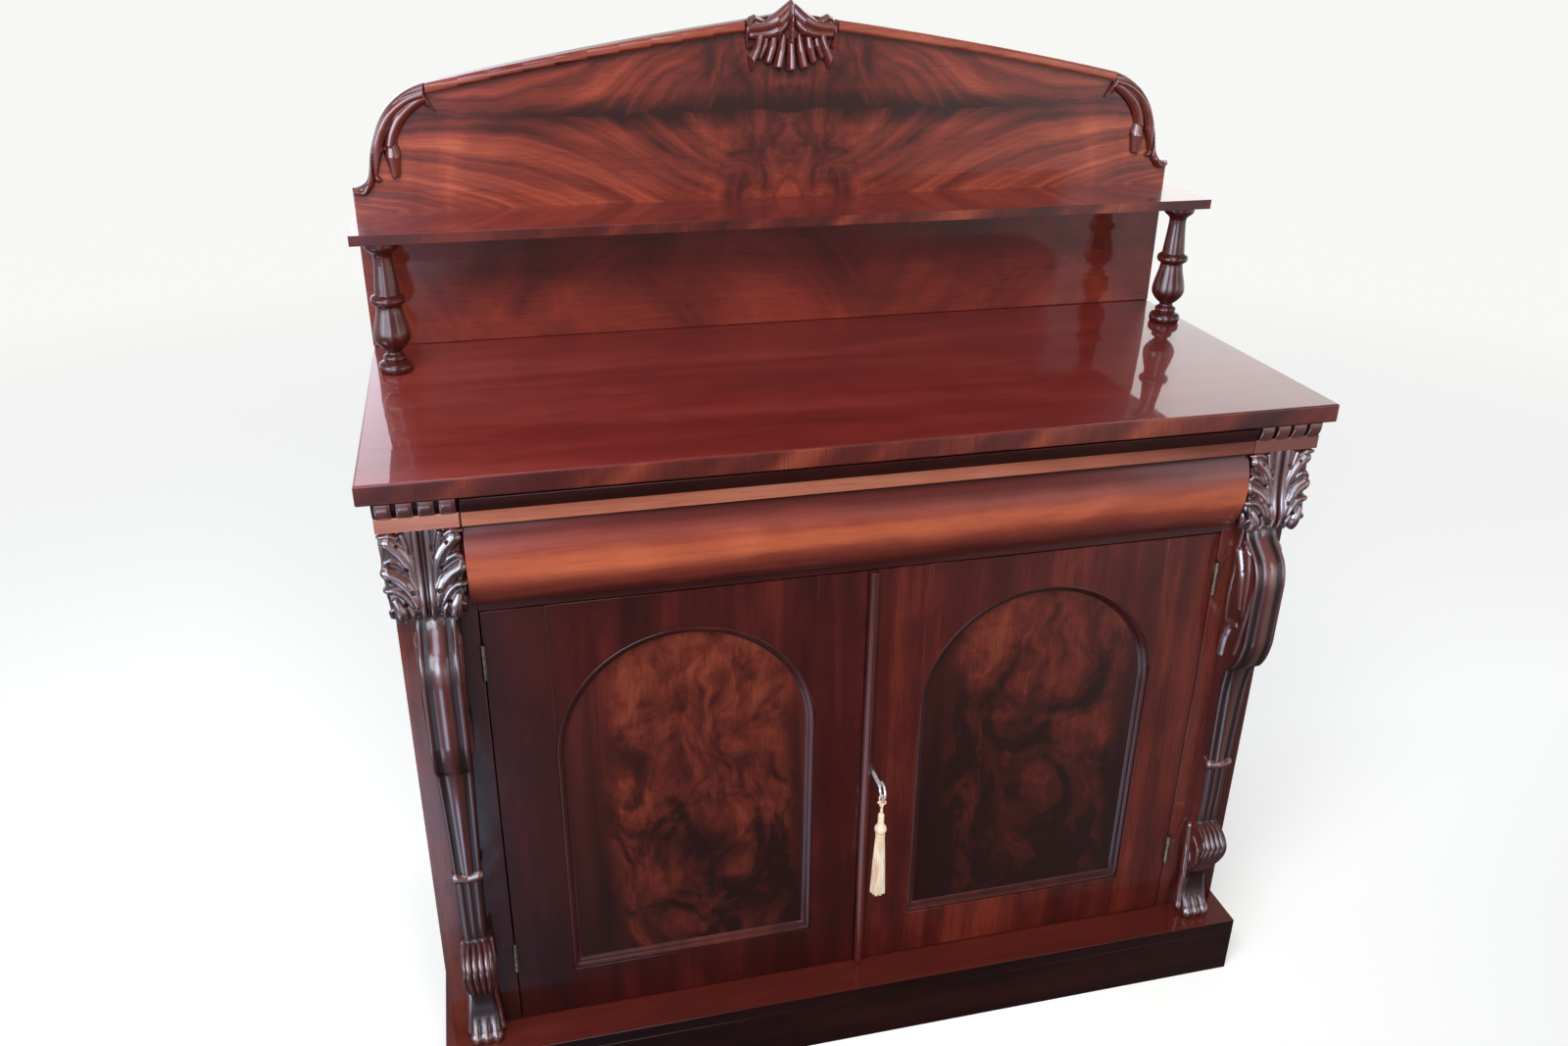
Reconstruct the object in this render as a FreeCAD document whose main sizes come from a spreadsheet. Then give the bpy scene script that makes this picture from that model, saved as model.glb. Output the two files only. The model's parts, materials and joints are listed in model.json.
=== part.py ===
import FreeCAD, Part
import math
import os
import Sketcher
from FreeCAD import Placement, Rotation, Vector

# Victorian mahogany chiffonier: a cupboard with two arched doors and a cushion drawer
# on a plinth, scroll corbels at its front corners and a shaped backboard with a shelf.
#
# Frame: millimetres, X to the right, Y to the back, Z up. The origin is on the floor,
# in the middle of the width and of the depth from the corbels' bellies to the back.

doc = FreeCAD.newDocument("chiffonier")

# ---------------------------------------------------------------- driving dimensions

SIZES = (
    ("top_width", 1120, "top board, end to end"),
    ("top_depth", 486, "top board, front edge to back edge"),
    ("top_thick", 23, "top board thickness"),
    ("top_height", 866, "floor to the upper face of the top board"),
    ("top_round", 2.5, "rounding of the top board's edges"),
    ("plinth_over", 10, "plinth beyond the carcass side"),
    ("plinth_height", 89, "floor to the upper face of the base board"),
    ("plinth_forward", 20, "plinth's front beyond the top board's front edge"),
    ("plinth_board", 22, "thickness of the plinth's boards"),
    ("base_thick", 18, "base board thickness"),
    ("block_side", 40, "side of the glue blocks in the plinth's corners"),
    ("top_over", 21, "top board beyond the carcass side"),
    ("face_setback", 31, "top board's front edge to the stiles' face"),
    ("side_thick", 19, "carcass side thickness"),
    ("frame_thick", 22, "thickness of stiles and door frames"),
    ("stile_width", 86, "front stile width"),
    ("back_thick", 12, "back board thickness"),
    ("back_count", 5, "number of back boards"),
    ("bead_height", 18, "nulled bead under the top board"),
    ("fillet_height", 16, "flat fillet under the bead"),
    ("bead_forward", 30, "bead's nose in front of the stiles' face"),
    ("fillet_forward", 25, "fillet in front of the stiles' face"),
    ("fillet_over", 6.5, "fillet beyond the carcass side"),
    ("bead_lobes", 4, "lobes of the nulled bead over each capital"),
    ("return_depth", 58, "cornice and capital, return along the side"),
    ("capital_width", 82, "capital, inner edge to outer edge"),
    ("capital_height", 102, "capital height"),
    ("capital_over", 3.5, "capital beyond the carcass side"),
    ("capital_forward", 32, "capital's nose in front of the stiles' face"),
    ("corbel_width", 42, "corbel width"),
    ("corbel_inset", 42, "corbel centre from the carcass's outer side"),
    ("belly_depth", 55, "corbel's belly in front of the stiles' face"),
    ("divider_thick", 12, "rail between drawer and doors"),
    ("divider_depth", 60, "front-to-back width of that rail"),
    ("shelf_rise", 271, "base board to the underside of the inner shelf"),
    ("shelf_board", 16, "inner shelf thickness"),
    ("shelf_back_off", 31, "inner shelf's front edge behind the door frames"),
    ("bearer_width", 20, "shelf bearer width"),
    ("bearer_height", 18, "shelf bearer height"),
    ("runner_inside", 23, "drawer runner inside the stile's edge"),
    ("guide_height", 20, "drawer guide above its runner"),
    ("kicker_depth", 12, "kicker strip under the top board"),
    ("running_gap", 0.3, "play between sliding faces"),
    ("show_gap", 1.5, "joint left round the drawer front and the doors"),
    ("floor_gap", 2.5, "doors above the base board"),
    ("divider_gap", 1, "capitals above the drawer divider"),
    ("drawer_lap", 6, "drawer front over each stile"),
    ("drawer_bulge", 17, "swell of the cushion drawer front"),
    ("drawer_top_back", 13, "cushion's upper edge in front of the stiles' face"),
    ("drawer_low_back", 9, "cushion's lower edge in front of the stiles' face"),
    ("drawer_side", 11, "drawer side thickness"),
    ("drawer_play", 41, "clear space behind the closed drawer"),
    ("drawer_height", 106, "drawer side height"),
    ("drawer_back_thick", 12, "drawer back thickness"),
    ("drawer_floor", 6, "drawer bottom thickness"),
    ("floor_rise", 8, "drawer bottom above the sides' lower edge"),
    ("groove_depth", 5, "groove for the drawer bottom"),
    ("meeting_shift", 6.75, "doors' meeting line left of the middle"),
    ("panel_near", 68, "panel opening's inner edge from the middle"),
    ("hinge_stile", 70.5, "width of the door stiles that carry the hinges"),
    ("bottom_rail_height", 66.5, "door bottom rail"),
    ("top_rail_height", 48.5, "door top rail over the arch's crown"),
    ("arch_toe", 20, "spandrel's foot above the arch's springing"),
    ("panel_lip", 9, "panel's face behind the door's face"),
    ("panel_thick", 10, "panel thickness"),
    ("panel_lap", 8, "panel's hold in its rebate"),
    ("moulding_width", 11, "panel moulding width"),
    ("moulding_edge", 1.5, "flat edge of the panel moulding"),
    ("astragal_width", 11, "astragal bead width"),
    ("astragal_rise", 9, "astragal bead in front of the door's face"),
    ("hinge_length", 45, "hinge length"),
    ("hinge_top_drop", 61.5, "door's upper edge to the middle of the top hinge"),
    ("hinge_low_rise", 106, "door's lower edge to the middle of the low hinge"),
    ("leaf_depth", 19, "hinge leaf, front to back"),
    ("leaf_thick", 1.5, "hinge leaf thickness"),
    ("knuckle_radius", 3, "hinge knuckle radius"),
    ("pin_radius", 1.5, "hinge pin radius"),
    ("pin_play", 0.1, "hinge pin's radial clearance"),
    ("key_across", 10, "keyhole right of the middle"),
    ("key_drop", 464, "keyhole below the upper face of the top board"),
    ("lock_width", 46, "lock case, edge to back"),
    ("lock_thick", 12, "lock case thickness"),
    ("lock_below", 20, "lock case below the keyhole"),
    ("lock_above", 28, "lock case above the keyhole"),
    ("lock_wall", 1.5, "lock case wall"),
    ("bolt_rise", 11, "lock bolt's lower edge above the keyhole"),
    ("bolt_high", 12, "lock bolt height"),
    ("bolt_thick", 5, "lock bolt thickness"),
    ("bolt_long", 36, "lock bolt length"),
    ("bolt_throw", 8, "lock bolt travel"),
    ("key_radius", 2.5, "key shank radius"),
    ("key_play", 1, "keyhole clearance round the shank"),
    ("bit_reach", 9, "key bit below the shank's axis"),
    ("bow_radius", 10.5, "key bow, axis to the middle of its ring"),
    ("bow_thick", 3, "key bow ring thickness"),
    ("bow_forward", 39, "middle of the bow in front of the door's face"),
    ("cord_thick", 2, "tassel cord diameter"),
    ("cord_drop", 40.5, "bow's lowest ring to the top of the tassel's head"),
    ("head_radius", 7.5, "tassel head radius"),
    ("skirt_length", 97, "tassel skirt length"),
    ("skirt_radius", 9.7, "tassel skirt radius at its foot"),
    ("slide_across", 30, "slide bolts' middle left of the middle"),
    ("slide_width", 10, "slide bolt width"),
    ("slide_thick", 5, "slide bolt thickness"),
    ("slide_length", 120, "slide bolt length"),
    ("slide_travel", 10, "slide bolt travel"),
    ("slide_rest", 1, "slide bolt's end inside the door's edge at rest"),
    ("plate_thick", 1.2, "slide bolt plate thickness"),
    ("backboard_thick", 20, "backboard thickness"),
    ("side_rise", 205, "backboard's straight side above the top board"),
    ("eaves_rise", 328, "foot of the backboard's straight rake"),
    ("ridge_rise", 396, "head of the backboard's straight rake"),
    ("shoulder_width", 100, "backboard's rounded shoulder"),
    ("crest_half", 62, "half width of the crest"),
    ("crest_rise", 421, "tip of the crest above the top board"),
    ("crest_drop", 88, "crest, tip to shell's foot"),
    ("crest_depth", 18, "crest in front of the backboard's face"),
    ("rake_width", 13, "rake moulding width"),
    ("rake_depth", 11, "rake moulding in front of the backboard's face"),
    ("leaf_relief", 13, "shoulder leaf in front of the backboard's face"),
    ("leaf_curl", 12, "curl at the shoulder leaf's foot"),
    ("ridge_over", 10, "backboard's tip above the rake's head"),
    ("rake_bend", 3.5, "bow of the rake"),
    ("gallery_over", 2, "gallery shelf beyond the backboard's side"),
    ("gallery_depth", 127.5, "gallery shelf depth"),
    ("gallery_thick", 12.5, "gallery shelf thickness"),
    ("gallery_rise", 173.5, "gallery shelf's upper face above the top board"),
    ("column_inset", 35, "column's axis from the shelf's end"),
    ("column_back", 20, "column's axis behind the shelf's front edge"),
    ("column_radius", 21, "largest turned radius of the columns' feet"),
    ("peg_radius", 7, "columns' pegs"),
    ("peg_length", 8, "length of each peg"),
)

sheet = doc.addObject("Spreadsheet::Sheet", "Sizes")
for row, (alias, number, note) in enumerate(SIZES, start=1):
    sheet.set(f"A{row}", note)
    sheet.set(f"B{row}", str(number))
    sheet.setAlias(f"B{row}", alias)
doc.recompute()


class Length:
    """A size in millimetres together with the expression that gives it."""

    def __init__(self, value, text):
        self.value = float(value)
        self.text = text

    def __float__(self):
        return self.value

    def __neg__(self):
        return Length(-self.value, f"(-{self.text})")

    def __add__(self, other):
        other = as_length(other)
        return Length(self.value + other.value, f"({self.text} + {other.text})")

    def __sub__(self, other):
        other = as_length(other)
        return Length(self.value - other.value, f"({self.text} - {other.text})")

    def __mul__(self, other):
        other = as_length(other)
        return Length(self.value * other.value, f"({self.text} * {other.text})")

    def __truediv__(self, other):
        other = as_length(other)
        return Length(self.value / other.value, f"({self.text} / {other.text})")

    def __radd__(self, other):
        return as_length(other) + self

    def __rsub__(self, other):
        return as_length(other) - self

    def __rmul__(self, other):
        return as_length(other) * self


def as_length(number):
    if isinstance(number, Length):
        return number
    return Length(number, f"({float(number)!r})")


class Sizes:
    """The sheet's cells by alias, as lengths."""

    def __getattr__(self, alias):
        return Length(sheet.get(alias), f"{sheet.Name}.{alias}")


s = Sizes()
HANDS = ((-1, "left"), (1, "right"))

# Levels and planes that several pieces share.
belly_forward = s.belly_depth - s.face_setback
front_y = belly_forward / 2 - s.top_depth / 2
back_y = front_y + s.top_depth
face_y = front_y + s.face_setback
frame_back_y = face_y + s.frame_thick
plinth_y = front_y - s.plinth_forward
board_y = back_y - s.backboard_thick
under_top = s.top_height - s.top_thick
fillet_top = under_top - s.bead_height
capital_top = fillet_top - s.fillet_height
capital_foot = capital_top - s.capital_height
divider_top = capital_foot - s.divider_gap
divider_foot = divider_top - s.divider_thick
carcass_half = s.top_width / 2 - s.top_over
inside_half = carcass_half - s.side_thick
stile_edge = carcass_half - s.stile_width
capital_outer = carcass_half + s.capital_over
capital_inner = capital_outer - s.capital_width
door_foot = s.plinth_height + s.floor_gap
door_head = divider_foot - s.show_gap
key_z = s.top_height - s.key_drop
bow_y = face_y - s.bow_forward

# ------------------------------------------------------------------- modelling tools

parts = []


def keep(piece, label):
    """Name a finished piece and list it for export."""
    piece.Label = label
    parts.append(piece)
    return piece


def place(piece, x, y, z):
    for axis, where in (("x", x), ("y", y), ("z", z)):
        piece.setExpression(f"Placement.Base.{axis}", as_length(where).text)


def box(name, x, y, z, width, depth, height):
    """A board with its left, front, lower corner at x, y, z."""
    piece = doc.addObject("Part::Box", f"{name}_blank")
    piece.setExpression("Length", as_length(width).text)
    piece.setExpression("Width", as_length(depth).text)
    piece.setExpression("Height", as_length(height).text)
    place(piece, x, y, z)
    return piece


def across(hand, inner, outer):
    """Left edge and width of what spans inner to outer, measured from the middle."""
    start = inner if hand > 0 else -outer
    return start, outer - inner


def side_box(name, hand, inner, outer, y, z, depth, height):
    x, width = across(hand, as_length(inner), as_length(outer))
    return box(name, x, y, z, width, depth, height)


def rod(name, x, y, z, radius, length, axis="z"):
    """A cylinder from x, y, z along the named axis."""
    piece = doc.addObject("Part::Cylinder", f"{name}_rod")
    piece.setExpression("Radius", as_length(radius).text)
    piece.setExpression("Height", as_length(length).text)
    turn = {"z": Rotation(), "y": Rotation(Vector(1, 0, 0), -90)}
    piece.Placement = Placement(Vector(), turn[axis])
    place(piece, x, y, z)
    return piece


def fuse(name, *pieces):
    piece = doc.addObject("Part::MultiFuse", f"{name}_fused")
    piece.Shapes = list(pieces)
    return piece


def cut(name, base, *tools):
    tool = tools[0] if len(tools) == 1 else fuse(f"{name}_tools", *tools)
    piece = doc.addObject("Part::Cut", f"{name}_cut")
    piece.Base = base
    piece.Tool = tool
    return piece


def group(name, *pieces):
    """Separate solids that share one node."""
    piece = doc.addObject("Part::Compound", f"{name}_group")
    piece.Links = list(pieces)
    return piece


def feature(name, shape):
    piece = doc.addObject("Part::Feature", f"{name}_shape")
    piece.Shape = shape
    return piece


def rounded(name, base, radius, wanted):
    """Round the edges of a piece whose middle points pass the test."""
    doc.recompute()
    size = float(radius)
    chosen = []
    for number, edge in enumerate(base.Shape.Edges, start=1):
        if wanted(edge):
            chosen.append((number, size, size))
    piece = doc.addObject("Part::Fillet", f"{name}_rounded")
    piece.Base = base
    piece.Edges = chosen
    return piece


def body_sketch(body, name, role, path):
    """A closed sketch on one of the body's origin planes.

    The path lists corners as (across, up) or (across, up, radius), where a radius
    makes the side that ends at that corner an arc, bulging left of its direction
    when the radius is positive. Half circles stand on a level line and are held by
    the height of their centre. Every corner is tied to the sheet.
    """
    sketch = body.newObject("Sketcher::SketchObject", name)
    plane = [item for item in body.Origin.OriginFeatures if item.Role == role][0]
    sketch.AttachmentSupport = [(plane, "")]
    sketch.MapMode = "FlatFace"
    corners = [tuple(as_length(value) for value in corner) for corner in path]
    spots = [Vector(corner[0].value, corner[1].value, 0) for corner in corners]
    sides = []
    for end, corner in enumerate(corners):
        first, last = spots[end - 1], spots[end]
        if len(corner) == 3:
            curve = arc_between(first, last, corner[2].value)
        else:
            curve = Part.LineSegment(first, last)
        sides.append(sketch.addGeometry(curve, False))
    for end, corner in enumerate(corners):
        tip = end_point(sketch, sides[end], spots[end])
        following = sides[(end + 1) % len(sides)]
        start = end_point(sketch, following, spots[end])
        sketch.addConstraint(Sketcher.Constraint("Coincident", sides[end], tip, following, start))
        for kind, where in (("DistanceX", corner[0]), ("DistanceY", corner[1])):
            tie = Sketcher.Constraint(kind, -1, 1, sides[end], tip, where.value)
            number = sketch.addConstraint(tie)
            sketch.setExpression(f"Constraints[{number}]", where.text)
        if len(corner) == 3:
            size = -corner[2] if corner[2].value < 0 else corner[2]
            tie = Sketcher.Constraint("Radius", sides[end], size.value)
            if abs(size.value * 2 - (spots[end] - spots[end - 1]).Length) < 1e-6:
                size = corner[1]
                tie = Sketcher.Constraint("DistanceY", -1, 1, sides[end], 3, size.value)
            number = sketch.addConstraint(tie)
            sketch.setExpression(f"Constraints[{number}]", size.text)
    return sketch


def end_point(sketch, side, spot):
    """Number of the side's end that lies at the spot: 1 for its start, 2 for its end."""
    near = sketch.getPoint(side, 1).distanceToPoint(spot)
    far = sketch.getPoint(side, 2).distanceToPoint(spot)
    return 1 if near < far else 2


def arc_between(first, last, radius):
    """The shorter arc from first to last, bulging left for a positive radius."""
    chord = last - first
    half = chord.Length / 2
    size = max(abs(radius), half)
    rise = size - math.sqrt(size * size - half * half)
    left = Vector(-chord.y, chord.x, 0) / chord.Length
    middle = (first + last) / 2 + left * math.copysign(rise, radius)
    return Part.Arc(first, middle, last)


def padded(name, role, path, length, midplane=False):
    """A body with one padded sketch."""
    body = doc.addObject("PartDesign::Body", f"{name}_body")
    sketch = body_sketch(body, f"{name}_outline", role, path)
    add_pad(body, name, sketch, length, midplane)
    return body


def add_pad(body, name, sketch, length, midplane):
    pad = body.newObject("PartDesign::Pad", f"{name}_pad")
    pad.Profile = sketch
    pad.setExpression("Length", as_length(length).text)
    pad.Midplane = midplane
    body.Tip = pad
    return pad


def side_wire(outline):
    """A closed wire in the YZ plane from lists of points: two make a line, more a curve."""
    edges = []
    for points in outline:
        spots = [Vector(0, float(y), float(z)) for y, z in points]
        edges.append(edge_through(spots))
    return Part.Wire(edges)


def edge_through(spots):
    if len(spots) == 2:
        return Part.makeLine(spots[0], spots[1])
    if len(spots) == 3:
        return Part.Arc(*spots).toShape()
    curve = Part.BSplineCurve()
    curve.interpolate(spots)
    return curve.toShape()


def side_solid(outline, hand, inner, outer):
    """The YZ outline carried from inner to outer, measured from the middle."""
    x, width = across(hand, as_length(inner), as_length(outer))
    face = Part.Face(side_wire(outline))
    face.translate(Vector(float(x), 0, 0))
    return face.extrude(Vector(float(width), 0, 0))


# ------------------------------------------------------------------------ the plinth

plinth_half = carcass_half + s.plinth_over
under_base = s.plinth_height - s.base_thick
slide_y = frame_back_y - s.slide_thick


def slide_slot(name, z, height, play):
    """The room that a slide bolt needs round it."""
    width = s.slide_width + play * 2
    return box(name, -s.slide_across - width / 2, slide_y - play, z,
               width, s.slide_thick + play * 2, height)


keep(box("plinth_front", -plinth_half, plinth_y, 0,
         plinth_half * 2, s.plinth_board, under_base), "plinth_front")
keep(box("plinth_back", -plinth_half, back_y - s.plinth_board, 0,
         plinth_half * 2, s.plinth_board, under_base), "plinth_back")

inside_front = plinth_y + s.plinth_board
inside_back = back_y - s.plinth_board
keep(group("plinth_sides", *[
    side_box(f"plinth_{hand}", sign, plinth_half - s.plinth_board, plinth_half,
             inside_front, 0, inside_back - inside_front, under_base)
    for sign, hand in HANDS]), "plinth_sides")

blocks = []
for sign, hand in HANDS:
    outer = plinth_half - s.plinth_board
    for end, y in (("front", inside_front), ("back", inside_back - s.block_side)):
        blocks.append(side_box(f"block_{hand}_{end}", sign, outer - s.block_side, outer,
                               y, 1, s.block_side, under_base - 1))
keep(group("plinth_blocks", *blocks), "plinth_blocks")

base = box("base", -plinth_half, plinth_y, under_base,
           plinth_half * 2, back_y - plinth_y, s.base_thick)
socket = s.slide_travel + s.slide_rest
keep(cut("base_board", base, slide_slot("base_hole", s.plinth_height - socket, socket, 0.5)),
     "base_board")

# ----------------------------------------------------------------------- the carcass

hinge_x = stile_edge - s.show_gap / 2
hinge_y = face_y - s.knuckle_radius - s.running_gap
hinge_heights = (door_foot + s.hinge_low_rise, door_head - s.hinge_top_drop)


def hinge_recess(name, sign, inner, z):
    """The shallow housing that a hinge leaf lies in."""
    return side_box(name, sign, inner, inner + s.leaf_thick, face_y,
                    z - s.hinge_length / 2, s.leaf_depth, s.hinge_length)


for sign, hand in HANDS:
    keep(side_box(f"side_{hand}", sign, inside_half, carcass_half, frame_back_y,
                  s.plinth_height, back_y - frame_back_y, under_top - s.plinth_height),
         f"side_{hand}")
    blank = side_box(f"stile_{hand}", sign, stile_edge, carcass_half, face_y,
                     s.plinth_height, s.frame_thick, under_top - s.plinth_height)
    recesses = [hinge_recess(f"stile_{hand}_recess_{number}", sign, stile_edge, z)
                for number, z in enumerate(hinge_heights)]
    keep(cut(f"stile_{hand}", blank, *recesses), f"stile_{hand}")

inside_y = back_y - s.back_thick
board_width = inside_half * 2 / s.back_count
keep(group("back_boards", *[
    box(f"back_{number}", board_width * number - inside_half, inside_y,
        s.plinth_height, board_width, s.back_thick, under_top - s.plinth_height)
    for number in range(int(s.back_count.value))]), "back_boards")

rail = box("divider", -stile_edge, face_y, divider_foot,
           stile_edge * 2, s.divider_depth, s.divider_thick)
keep(cut("drawer_divider", rail, slide_slot("divider_hole", divider_foot, socket, 0.5)),
     "drawer_divider")

# Each side carries a runner, a guide that steers the drawer and a kicker over it.
runner_y = face_y + s.divider_depth
runner_length = inside_y - runner_y
runners = []
for sign, hand in HANDS:
    inner = stile_edge - s.runner_inside
    base = side_box(f"runner_{hand}", sign, inner, inside_half, runner_y, divider_foot,
                    runner_length, s.divider_thick)
    guide = side_box(f"guide_{hand}", sign, stile_edge, inside_half, runner_y, divider_top,
                     runner_length, s.guide_height)
    kicker = side_box(f"kicker_{hand}", sign, inner, inside_half, runner_y,
                      under_top - s.kicker_depth, runner_length, s.kicker_depth)
    runners += [base, guide, kicker]
keep(group("drawer_runners", *runners), "drawer_runners")

shelf_y = frame_back_y + s.shelf_back_off
shelf_z = s.plinth_height + s.shelf_rise
keep(box("inner_shelf", -inside_half, shelf_y, shelf_z,
         inside_half * 2, inside_y - shelf_y, s.shelf_board), "inner_shelf")
keep(group("shelf_bearers", *[
    side_box(f"bearer_{hand}", sign, inside_half - s.bearer_width, inside_half, shelf_y,
             shelf_z - s.bearer_height, inside_y - shelf_y, s.bearer_height)
    for sign, hand in HANDS]), "shelf_bearers")

# --------------------------------------------------------------------- the top board

gallery_half = s.top_width / 2 + s.gallery_over
gallery_y = board_y - s.gallery_depth
gallery_top = s.top_height + s.gallery_rise
gallery_foot = gallery_top - s.gallery_thick
column_x = gallery_half - s.column_inset
column_y = gallery_y + s.column_back


def not_at_back(edge):
    """Long edges of a board, except those along its back and its corners' uprights."""
    middle = edge.BoundBox.Center
    return edge.BoundBox.ZLength < 1e-6 and middle.y < back_y.value - 1


slab = box("top", -s.top_width / 2, front_y, under_top, s.top_width, s.top_depth, s.top_thick)
slab = rounded("top", slab, s.top_round, not_at_back)
socket_radius = s.peg_radius + s.running_gap
sockets = [rod(f"top_socket_{hand}", column_x * sign, column_y, s.top_height - s.peg_length,
               socket_radius, s.peg_length) for sign, hand in HANDS]
keep(cut("top_board", slab, *sockets), "top_board")

# ------------------------------------------------- cornice, capitals and corbels

cornice_outer = carcass_half + s.fillet_over
fillet_y = face_y - s.fillet_forward
bead_y = face_y - s.bead_forward


def bead_outline(top, back):
    """Quarter-round bead that overhangs the fillet below it."""
    swell = ((bead_y, top), (bead_y + 1, fillet_top + s.bead_height * 0.4), (fillet_y, fillet_top))
    return (swell,
            ((fillet_y, fillet_top), (back, fillet_top)),
            ((back, fillet_top), (back, top)),
            ((back, top), (bead_y, top)))


def cornice(sign, hand):
    """Fillet with its return, and the lobes of the nulled bead above it."""
    solid = side_solid((((fillet_y, capital_top), (fillet_y, fillet_top)),
                        ((fillet_y, fillet_top), (face_y, fillet_top)),
                        ((face_y, fillet_top), (face_y, capital_top)),
                        ((face_y, capital_top), (fillet_y, capital_top))),
                       sign, capital_inner, cornice_outer)
    x, width = across(sign, carcass_half, cornice_outer)
    solid = solid.fuse(Part.makeBox(float(width), float(s.return_depth),
                                    float(s.bead_height + s.fillet_height),
                                    Vector(float(x), float(face_y), float(capital_top))))
    groove_y = fillet_y + 3
    backing = ((groove_y, fillet_top), (groove_y, under_top), (face_y, under_top),
               (face_y, fillet_top))
    sides = [(backing[number], backing[(number + 1) % 4]) for number in range(4)]
    solid = solid.fuse(side_solid(sides, sign, capital_inner, cornice_outer))
    pitch = (cornice_outer - capital_inner) / s.bead_lobes
    gap = 2.5
    for lobe in range(int(s.bead_lobes.value)):
        start = capital_inner + pitch * lobe
        first = start if lobe == 0 else start + gap / 2
        last = start + pitch if lobe == s.bead_lobes.value - 1 else start + pitch - gap / 2
        solid = solid.fuse(side_solid(bead_outline(under_top, face_y), sign, first, last))
    return feature(f"cornice_{hand}", solid.removeSplitter())


# The capital leans out to a nose near its foot. Each pair is the share of its
# projection and of its height above the foot.
CAPITAL_FRONT_SHARES = ((0.62, 1.0), (0.68, 0.78), (0.74, 0.56), (0.86, 0.37), (1.0, 0.22),
                 (0.97, 0.09), (0.8, 0.0))


def capital(sign, hand):
    front = [(face_y - s.capital_forward * out, capital_foot + s.capital_height * up)
             for out, up in CAPITAL_FRONT_SHARES]
    outline = (front,
               (front[-1], (face_y, capital_foot)),
               ((face_y, capital_foot), (face_y, capital_top)),
               ((face_y, capital_top), front[0]))
    solid = side_solid(outline, sign, capital_inner, capital_outer)
    x, width = across(sign, carcass_half, capital_outer)
    back = Part.makeBox(float(width), float(s.return_depth), float(s.capital_height),
                        Vector(float(x), float(face_y), float(capital_foot)))
    return feature(f"capital_{hand}", solid.fuse(back).removeSplitter())


# The corbel's front in four stretches: belly, shank, lower scroll and foot. Each pair
# is the share of the belly's depth and of the drop from the capital to the base board.
CORBEL_FRONT_SHARES = (
    ((0.27, 0.0), (0.33, 0.024), (0.76, 0.060), (0.96, 0.117), (1.0, 0.183), (0.93, 0.256),
     (0.78, 0.297), (0.62, 0.317)),
    ((0.62, 0.317), (0.5, 0.322)),
    ((0.5, 0.322), (0.40, 0.380), (0.37, 0.457), (0.37, 0.613), (0.37, 0.694), (0.33, 0.745)),
    ((0.33, 0.745), (0.62, 0.752), (0.86, 0.775), (0.80, 0.81), (0.60, 0.845), (0.36, 0.88)),
    ((0.36, 0.88), (0.30, 0.92), (0.40, 0.955), (0.56, 0.975), (0.55, 1.0)),
)


def corbel(sign, hand):
    foot = s.plinth_height
    drop = capital_foot - foot
    front = []
    for stretch in CORBEL_FRONT_SHARES:
        front.append([(face_y - s.belly_depth * out, capital_foot - drop * down)
                      for out, down in stretch])
    toe, brow = front[-1][-1], front[0][0]
    outline = front + [(toe, (face_y, foot)), ((face_y, foot), (face_y, capital_foot)),
                       ((face_y, capital_foot), brow)]
    middle = carcass_half - s.corbel_inset
    return feature(f"corbel_{hand}", side_solid(outline, sign, middle - s.corbel_width / 2,
                                                middle + s.corbel_width / 2))


for sign, hand in HANDS:
    keep(cornice(sign, hand), f"cornice_{hand}")
    keep(capital(sign, hand), f"capital_{hand}")
    keep(corbel(sign, hand), f"corbel_{hand}")

# ----------------------------------------------------------------------- the gallery

board_half = s.top_width / 2
top_z = float(s.top_height)


def gallery_spot(x, rise, y=board_y):
    return Vector(float(x), float(y), top_z + float(rise))


# Shoulder of the backboard: shares of its width and of its rise.
SHOULDER_SHARES = ((0.0, 0.0), (0.19, 0.08), (0.25, 0.28), (0.33, 0.50), (0.45, 0.70),
            (0.65, 0.87), (1.0, 1.0))


def shoulder_spots(inset=0.0, y=board_y):
    """The shoulder from the side up to the rake, moved inwards by the inset."""
    spots = []
    rise = s.eaves_rise - s.side_rise
    for along, up in SHOULDER_SHARES:
        lean = math.radians(90 * up)
        x = board_half - s.shoulder_width * along - inset * math.cos(lean)
        spots.append(gallery_spot(x, s.side_rise + rise * up - inset * math.sin(lean), y))
    return spots


def rake_arc(inset=0.0, y=board_y):
    """The long rake from the shoulder to the crest, very slightly bowed."""
    low = gallery_spot(board_half - s.shoulder_width, s.eaves_rise - inset, y)
    high = gallery_spot(s.crest_half, s.ridge_rise - inset, y)
    middle = (low + high) / 2 + Vector(0, 0, float(s.rake_bend))
    return Part.Arc(low, middle, high).toShape()


def both_halves(edges):
    """Edges of the right half together with their mirror images."""
    mirrored = [edge.mirror(Vector(), Vector(1, 0, 0)) for edge in edges]
    return edges + mirrored


def closed_face(edges):
    return Part.Face(Part.Wire(Part.__sortEdges__(edges)))


def backboard():
    side = Part.makeLine(gallery_spot(board_half, 0), gallery_spot(board_half, s.side_rise))
    shoulder = edge_through(shoulder_spots())
    ridge = gallery_spot(0, s.ridge_rise + s.ridge_over)
    head = Part.makeLine(gallery_spot(s.crest_half, s.ridge_rise), ridge)
    edges = both_halves([side, shoulder, rake_arc(), head])
    edges.append(Part.makeLine(gallery_spot(-board_half, 0), gallery_spot(board_half, 0)))
    return closed_face(edges).extrude(Vector(0, float(s.backboard_thick), 0))


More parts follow.
